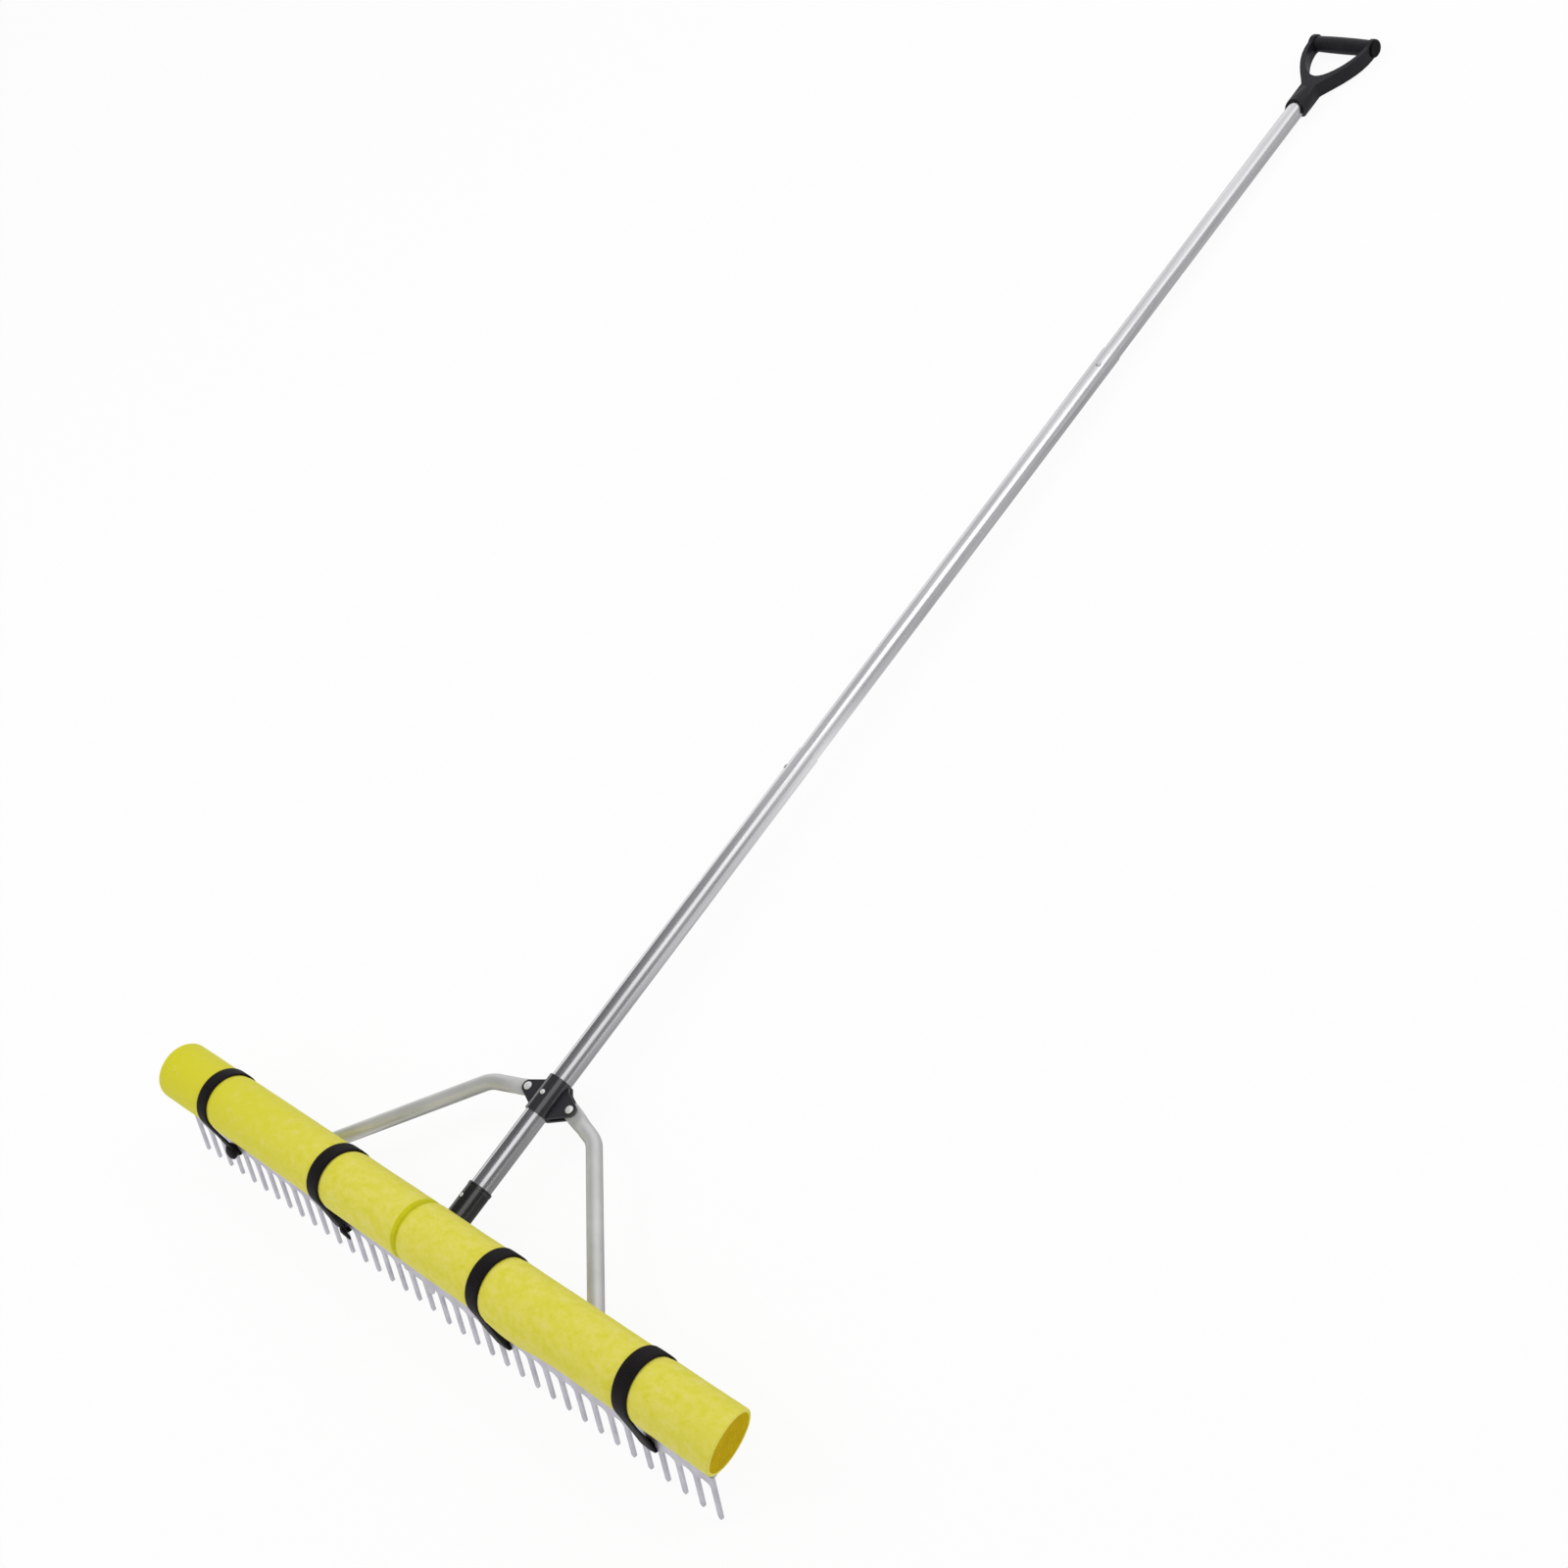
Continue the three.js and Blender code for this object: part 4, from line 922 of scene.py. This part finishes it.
    def tail_rings(self) -> list[tuple[Vector, Vector, Vector]]:
        """Places the tail's rings.

        Returns:
            Each ring's centre, half width and half thickness, in the pole's own frame.
        """
        across, out, down = Vector((1, 0, 0)), Vector((0, -1, 0)), Vector((0, *self.tail_way))
        aside, ahead = TAIL_STARTS[self.tail]
        foot = Vector((self.x + self.drift - self.lean, *self.tail_foot))
        start = foot + across * aside + out * ahead
        way, wide_way = down, across
        if self.tail is TailKind.SIDEWAYS:
            start += across * (self.width / 2)
            way, wide_way = (across * 0.97 - down * 0.02 + out * 0.1).normalized(), down
        shape = TAIL_RINGS[self.tail]
        return [(start + way * far, wide_way * wide, out * thick) for far, wide, thick in shape]

    def build(self, webbing: bpy.types.Material) -> bpy.types.Object:
        """Builds the strap and its tail, with a length and width map for the weave.

        Args:
            webbing: The strap's finish.

        Returns:
            The piece, in place of its plain solid.
        """
        line = self.loop()
        bm = bmesh.new()
        uv = bm.loops.layers.uv.new("length_width")
        rings = []
        lengths = [0.0]
        for before, p, after in zip(line[-1:] + line, line, line[1:] + line[:1]):
            way = (after - before).normalized()
            out = Vector((way.y, -way.x))
            middle = self.x + self.shift_at(p)
            spots = [(middle + x, p + out * rise) for x, rise in self.section(*self.layers_at(p))]
            rings.append([bm.verts.new(from_pole(x, spot.x, spot.y)) for x, spot in spots])
            lengths.append(lengths[-1] + (after - p).length)
        widths = [x for x, _ in self.section(0.0, self.thickness)]
        for a, b, start, end in zip(rings, rings[1:] + rings[:1], lengths, lengths[1:]):
            for face, near, far in zip(bridge(bm, a, b), widths, widths[1:] + widths[:1]):
                for corner, place in zip(face.loops, ((start, near), (start, far), (end, far), (end, near))):
                    corner[uv].uv = place
        self.loft_tail(bm, uv)
        made = mesh_object(f"webbing_strap_{self.number}", bm, (webbing,))
        smooth(made, 60)
        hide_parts(f"strap_{self.number}")
        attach(made, Body.HEAD.value)
        return made

    def loft_tail(self, bm: bmesh.types.BMesh, uv: bmesh.types.BMLayerItem) -> None:
        """Lofts the tail's rings into a closed form.

        Args:
            bm: The mesh to add to.
            uv: The map of length and width.
        """
        rings = []
        for i, (centre, wide, thick) in enumerate(self.tail_rings()):
            ring = []
            for k in range(self.tail_sides):
                turn = 2 * math.pi * k / self.tail_sides
                c, s = math.cos(turn), math.sin(turn)
                flat = (abs(c) ** 3 + abs(s) ** 3) ** (-1 / 3)
                crease = 1 + 0.07 * noise.noise(Vector((c * 1.7, s * 1.7, i * 0.6 + self.number)))
                ring.append(bm.verts.new(from_pole(*(centre + (wide * c + thick * s) * flat * crease))))
            rings.append(ring)
        for i, (a, b) in enumerate(zip(rings, rings[1:])):
            for k, face in enumerate(bridge(bm, a, b)):
                for corner, (far, which) in zip(face.loops, ((0, k), (0, k + 1), (1, k + 1), (1, k))):
                    corner[uv].uv = ((i + far) * 4.0, which * 2.0)
        bm.faces.new(rings[0])
        bm.faces.new(rings[-1])


# Pieces that come over as they are

WELD = 2e-6  # metres
SHARP = math.radians(32)


def rounded_look() -> bpy.types.NodeTree:
    """Makes the node group that welds an imported piece and shades it smooth between its sharp edges.

    Returns:
        The geometry node group.
    """
    tree = bpy.data.node_groups.new("weld_and_shade", "GeometryNodeTree")
    for way in ("INPUT", "OUTPUT"):
        tree.interface.new_socket("Geometry", in_out=way, socket_type="NodeSocketGeometry")
    came_in = add(tree, "NodeGroupInput")
    weld = add(tree, "GeometryNodeMergeByDistance", {"Geometry": came_in, "Distance": WELD})
    gentle = add(tree, "FunctionNodeCompare", {
        "A": add(tree, "GeometryNodeInputMeshEdgeAngle"), "B": SHARP,
    }, operation="LESS_THAN")
    faces = add(tree, "GeometryNodeSetShadeSmooth", {"Geometry": weld, "Shade Smooth": True}, domain="FACE")
    edges = add(tree, "GeometryNodeSetShadeSmooth", {
        "Geometry": faces, "Shade Smooth": gentle,
    }, domain="EDGE")
    add(tree, "NodeGroupOutput", {0: edges})
    return tree


@dataclass
class Hardware:
    """The rigid pieces that come from the solids as they are, each with the finish of the real one."""

    finish_of: dict[str, tuple[str, ...]] = field(
        default_factory=lambda: {
            "comb": ("comb_left", "comb_right"),
            "tube": ("lower_tube", "middle_tube", "upper_tube"),
            "brace": ("brace_left", "brace_right", "socket_stub"),
            "ferrule": ("ferrule",),
            "clamp": ("clamp_top", "clamp_bottom"),
            "handle": ("handle_yoke", "handle_grip"),
            "cap": ("grip_cap_left", "grip_cap_right"),
            "plug": ("middle_end_plug", "upper_end_plug"),
            "spring": ("foot_snap_spring", "lower_snap_spring", "upper_snap_spring"),
        }
    )
    fallback: str = "bolt"
    softened: dict[str, float] = field(default_factory=lambda: {"handle_yoke": 1.3, "clamp_top": 0.8})

    def dress(self, materials: dict[str, bpy.types.Material]) -> None:
        """Gives every carried-over piece its finish and smooth shading.

        Args:
            materials: Finish name to material.
        """
        look = rounded_look()
        chosen = {node: finish for finish, nodes in self.finish_of.items() for node in nodes}
        for name, obj in frame["nodes"].items():
            material = materials[chosen.get(name, self.fallback)]
            obj.data.materials.clear()
            obj.data.materials.append(material)
            shading = obj.modifiers.new("shading", "NODES")
            shading.node_group = look
            if name in self.softened:
                edge = obj.modifiers.new("soft_edges", "BEVEL")
                edge.width = self.softened[name] * MM
                edge.segments = 2
                edge.limit_method = "ANGLE"
                edge.angle_limit = math.radians(42)
            LOG.info("dressed %s with %s", name, material.name)


@dataclass
class SlideButton:
    """A snap button that is pressed in while its pole section slides."""

    name: str
    body: Body
    joint: str
    flattened: float = 0.05

    def build(self, steel: bpy.types.Material) -> bpy.types.Object:
        """Makes the button from its solid and sets it on the body that carries it.

        Args:
            steel: The button's finish.

        Returns:
            The piece, in place of its solid.
        """
        node = frame["nodes"][self.name + "_snap_button"]
        made = bpy.data.objects.new(self.name + "_button_dome", node.data.copy())
        bpy.context.scene.collection.objects.link(made)
        made.data.materials.clear()
        made.data.materials.append(steel)
        smooth(made, 40)
        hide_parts(self.name + "_snap_button")
        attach(made, self.body.value)
        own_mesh(made)
        return made


# The studio

WHITE = (1.0, 1.0, 1.0, 1.0)


@dataclass
class Studio:
    """A white floor, a long softbox, glowing cards of painted reflection and the camera. Places in metres,
    angles in degrees.
    """

    camera_place: Triple = (1.80724, -0.98906, 1.92422)
    camera_turn: Triple = (39.0605, 26.56103, 39.59933)
    lens_mm: float = 55.3241
    sensor_mm: float = 36.0
    floor_size: float = 60.0
    floor_white_share: float = 0.92
    box_angle: float = 33.0
    box_distance: float = 3.4
    box_width: float = 0.62
    box_length: float = 4.6
    box_middle: float = 1.6
    box_power: float = 15.0
    box_twist: float = 12.0
    room_width: float = 1.4
    room_power: float = 34.0
    fill_place: Triple = (-1.6, -1.8, 3.2)
    fill_aim: Triple = (0.0, -0.6, 0.0)
    fill_size: float = 2.4
    fill_power: float = 30.0
    world_level: float = 0.62
    card_radius: float = 3.0
    card_ends: Pair = (-5.0, 7.0)

    def floor(self) -> None:
        """Lays a white floor that keeps the rake's shadow, faint as in a cut-out photograph."""
        material, tree = empty_material("studio_floor")
        share = add(tree, "ShaderNodeMath", {
            0: self.seen_ray(tree), 1: self.floor_white_share,
        }, operation="MULTIPLY")
        paint = add(tree, "ShaderNodeBsdfDiffuse", {"Color": (0.9, 0.9, 0.9, 1.0)})
        white = add(tree, "ShaderNodeEmission", {"Color": WHITE, "Strength": 1.0})
        both = add(tree, "ShaderNodeMixShader", {0: share, 1: paint, 2: white})
        add(tree, "ShaderNodeOutputMaterial", {"Surface": both})
        material.cycles.emission_sampling = "NONE"
        half = self.floor_size / 2
        bm = bmesh.new()
        corners = ((-half, -half), (half, -half), (half, half), (-half, half))
        bm.faces.new([bm.verts.new((x, y, 0)) for x, y in corners])
        mesh_object("studio_floor", bm, (material,))

    def seen_ray(self, tree: Tree) -> bpy.types.Node:
        """Tells the rays that show a surface: from the camera, in a reflection or through glass.

        Args:
            tree: The node tree that it goes into.

        Returns:
            A node that gives 1 on such a ray.
        """
        path = add(tree, "ShaderNodeLightPath").outputs
        direct = add(tree, "ShaderNodeMath", {
            0: path["Is Camera Ray"], 1: path["Is Glossy Ray"],
        }, operation="MAXIMUM")
        return add(tree, "ShaderNodeMath", {0: direct, 1: path["Is Transmission Ray"]}, operation="MAXIMUM")

    def world(self) -> None:
        """Lights the room evenly, with white behind the rake."""
        world = bpy.data.worlds.new("studio_world")
        bpy.context.scene.world = world
        world.use_nodes = True
        tree = world.node_tree
        tree.nodes.clear()
        room = add(tree, "ShaderNodeBackground", {"Color": WHITE, "Strength": self.world_level})
        white = add(tree, "ShaderNodeBackground", {"Color": WHITE, "Strength": 1.0})
        both = add(tree, "ShaderNodeMixShader", {0: self.seen_ray(tree), 1: room, 2: white})
        add(tree, "ShaderNodeOutputWorld", {"Surface": both})

    def card_finish(self, name: str, tones: Sequence[Pair]) -> bpy.types.Material:
        """Makes a glowing card, a painted reflection that grows paler from the rake's head to its handle.

        Args:
            name: The material's name.
            tones: Places along Y in metres, each with how bright the card is there.

        Returns:
            The material.
        """
        material, tree = empty_material(name)
        place = add(tree, "ShaderNodeTexCoord").outputs["Object"]
        along = add(tree, "ShaderNodeSeparateXYZ", {0: place}).outputs["Y"]
        first, last = tones[0][0], tones[-1][0]
        share = add(tree, "ShaderNodeMapRange", {"Value": along, "From Min": first, "From Max": last})
        ramp = add(tree, "ShaderNodeValToRGB", {0: share})
        stops = ramp.color_ramp.elements
        for at, tone in tones[1:-1]:
            stops.new((at - first) / (last - first)).color = (tone, tone, tone, 1)
        for stop, tone in ((stops[0], tones[0][1]), (stops[len(stops) - 1], tones[-1][1])):
            stop.color = (tone, tone, tone, 1)
        glow = add(tree, "ShaderNodeEmission", {"Color": ramp, "Strength": 1.0})
        add(tree, "ShaderNodeOutputMaterial", {"Surface": glow})
        material.cycles.emission_sampling = "NONE"
        return material

    def card(self, name: str, rows: Sequence, tones: Sequence[Pair]) -> None:
        """Hangs a glowing card seen in gloss alone, a painted reflection that shades and hides nothing.

        Args:
            name: The card's name.
            rows: The places of its vertices, two to a row.
            tones: Its brightness along Y.
        """
        bm = bmesh.new()
        laid = [[bm.verts.new(place) for place in row] for row in rows]
        for a, b in zip(laid, laid[1:]):
            bm.faces.new((a[0], b[0], b[1], a[1]))
        card = mesh_object(name, bm, (self.card_finish(name, tones),))
        for ray in ("camera", "diffuse", "shadow", "transmission", "volume_scatter"):
            setattr(card, "visible_" + ray, False)

    def arc(self, low: float, high: float) -> list:
        """Bends a sheet round the pole, so polished tube shows it as a dark stripe along its length.

        Args:
            low: Where it starts, in degrees from straight up towards +X.
            high: Where it ends.

        Returns:
            The places of its vertices, two to a row.
        """
        steps = max(2, int((high - low) / 6))
        turns = [math.radians(low + (high - low) * i / steps) for i in range(steps + 1)]
        spots = [(self.card_radius * math.sin(turn), self.card_radius * math.cos(turn)) for turn in turns]
        return [[(x, y, z) for y in self.card_ends] for x, z in spots]

    def cards(self) -> None:
        """Sets the glowing cards that paint dark and pale reflections along the polished tube."""
        over = ((-0.8, 0.11), (0.1, 0.16), (0.74, 0.6), (1.1, 0.56), (1.7, 0.68), (2.2, 0.62), (3.0, 0.88))
        beside = ((-0.8, 0.12), (0.1, 0.24), (0.74, 0.66), (1.1, 0.42), (2.2, 0.4), (3.0, 0.46))
        below = ((-0.8, 0.24), (-0.5, 0.55), (-0.2, 0.8), (0.0, 0.48), (0.5, 0.43), (0.9, 0.5))
        on_floor = [[(x, y, 2 * MM) for y in (-0.88, 1.0)] for x in (-0.35, 0.5)]
        # Each card is a painted reflection: a glowing sheet that only polished pieces mirror.
        self.card("left_painted_reflection", self.arc(-70, 14), over)
        self.card("right_painted_reflection", self.arc(50, 97), beside)
        self.card("floor_painted_reflection", on_floor, below)

    def soft_lamp(
        self, name: str, place: Vector, aim: Vector, size: Pair, power: float,
        glossy: bool = False,
    ) -> bpy.types.Object:
        """Hangs one soft lamp.

        Args:
            name: The lamp's name.
            place: Its middle.
            aim: What it points at.
            size: Its width and its length along Y.
            power: Its power in watts.
            glossy: Whether polished pieces mirror it.

        Returns:
            The lamp.
        """
        lamp = bpy.data.lights.new(name, "AREA")
        lamp.shape = "RECTANGLE"
        lamp.size, lamp.size_y = size
        lamp.energy = power
        made = bpy.data.objects.new(name, lamp)
        made.location = place
        made.rotation_euler = (aim - place).to_track_quat("-Z", "Y").to_euler()
        made.visible_glossy = glossy
        bpy.context.scene.collection.objects.link(made)
        return made

    def lamps(self) -> None:
        """Hangs a long softbox in line with the pole, a wider one for the room, and a fill over the head."""
        turn = math.radians(self.box_angle)
        aim = Vector((0, self.box_middle, 0))
        place = aim + Vector((math.sin(turn), 0, math.cos(turn))) * self.box_distance
        size = (self.box_width, self.box_length)
        strip = self.soft_lamp("long_softbox", place, aim, size, self.box_power, glossy=True)
        strip.rotation_euler.rotate_axis("Z", math.radians(self.box_twist))
        self.soft_lamp("room_softbox", place, aim, (self.room_width, self.box_length), self.room_power)
        fill = (self.fill_size, self.fill_size)
        self.soft_lamp("fill_softbox", Vector(self.fill_place), Vector(self.fill_aim), fill, self.fill_power)

    def camera(self) -> None:
        """Sets the camera as fitted to the tine tips, the pole and the float."""
        data = bpy.data.cameras.new("photo_camera")
        data.sensor_width = self.sensor_mm
        data.lens = self.lens_mm
        data.clip_start = 0.05
        data.clip_end = 100
        made = bpy.data.objects.new("photo_camera", data)
        made.location = Vector(self.camera_place) + Vector((head_middle(), 0, 0))
        made.rotation_euler = Euler([math.radians(a) for a in self.camera_turn], "XYZ")
        bpy.context.scene.collection.objects.link(made)
        bpy.context.scene.camera = made

    def build(self) -> None:
        """Makes the whole studio."""
        bpy.context.scene.view_settings.view_transform = "Standard"
        self.camera()
        self.floor()
        self.world()
        self.cards()
        self.lamps()


def main() -> None:
    """Builds the rake's dressed pieces and the studio, in order."""
    logging.basicConfig(level=logging.INFO, format="%(name)s: %(message)s")
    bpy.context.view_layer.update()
    materials = {key: finish.build() for key, finish in FINISHES.items()}
    Studio().build()
    Hardware().dress(materials)
    foam = Float()
    for side in Side:
        made = foam.half(side, (materials["foam"], materials["cut_foam"], materials["seam"]))
        LOG.info("built %s", made.name)
    left, right = foam.strap_places[Side.LEFT], foam.strap_places[Side.RIGHT]
    single = {"doubled_out": 0.0}
    straps = (
        Strap(1, -left[1], 18.0, TailKind.BUNCHED, drift=-6.0, doubled_in=0.6, **single),
        Strap(2, -left[0], 19.5, TailKind.SIDEWAYS, lean=1.5, drift=-10.0),
        Strap(3, right[0], 19.5, TailKind.CUT, lean=-1.5),
        Strap(4, right[1], 21.0, TailKind.FOLDED, lean=-2.0, drift=-3.0, doubled_in=0.8, **single),
    )
    for strap in straps:
        LOG.info("built %s", strap.build(materials["webbing"]).name)
    buttons = (
        SlideButton("lower", Body.LOWER_BUTTON, "lower_slide"),
        SlideButton("upper", Body.UPPER_BUTTON, "upper_slide"),
    )
    for button in buttons:
        LOG.info("built %s", button.build(materials["spring"]).name)


if __name__ == "__main__":
    main()
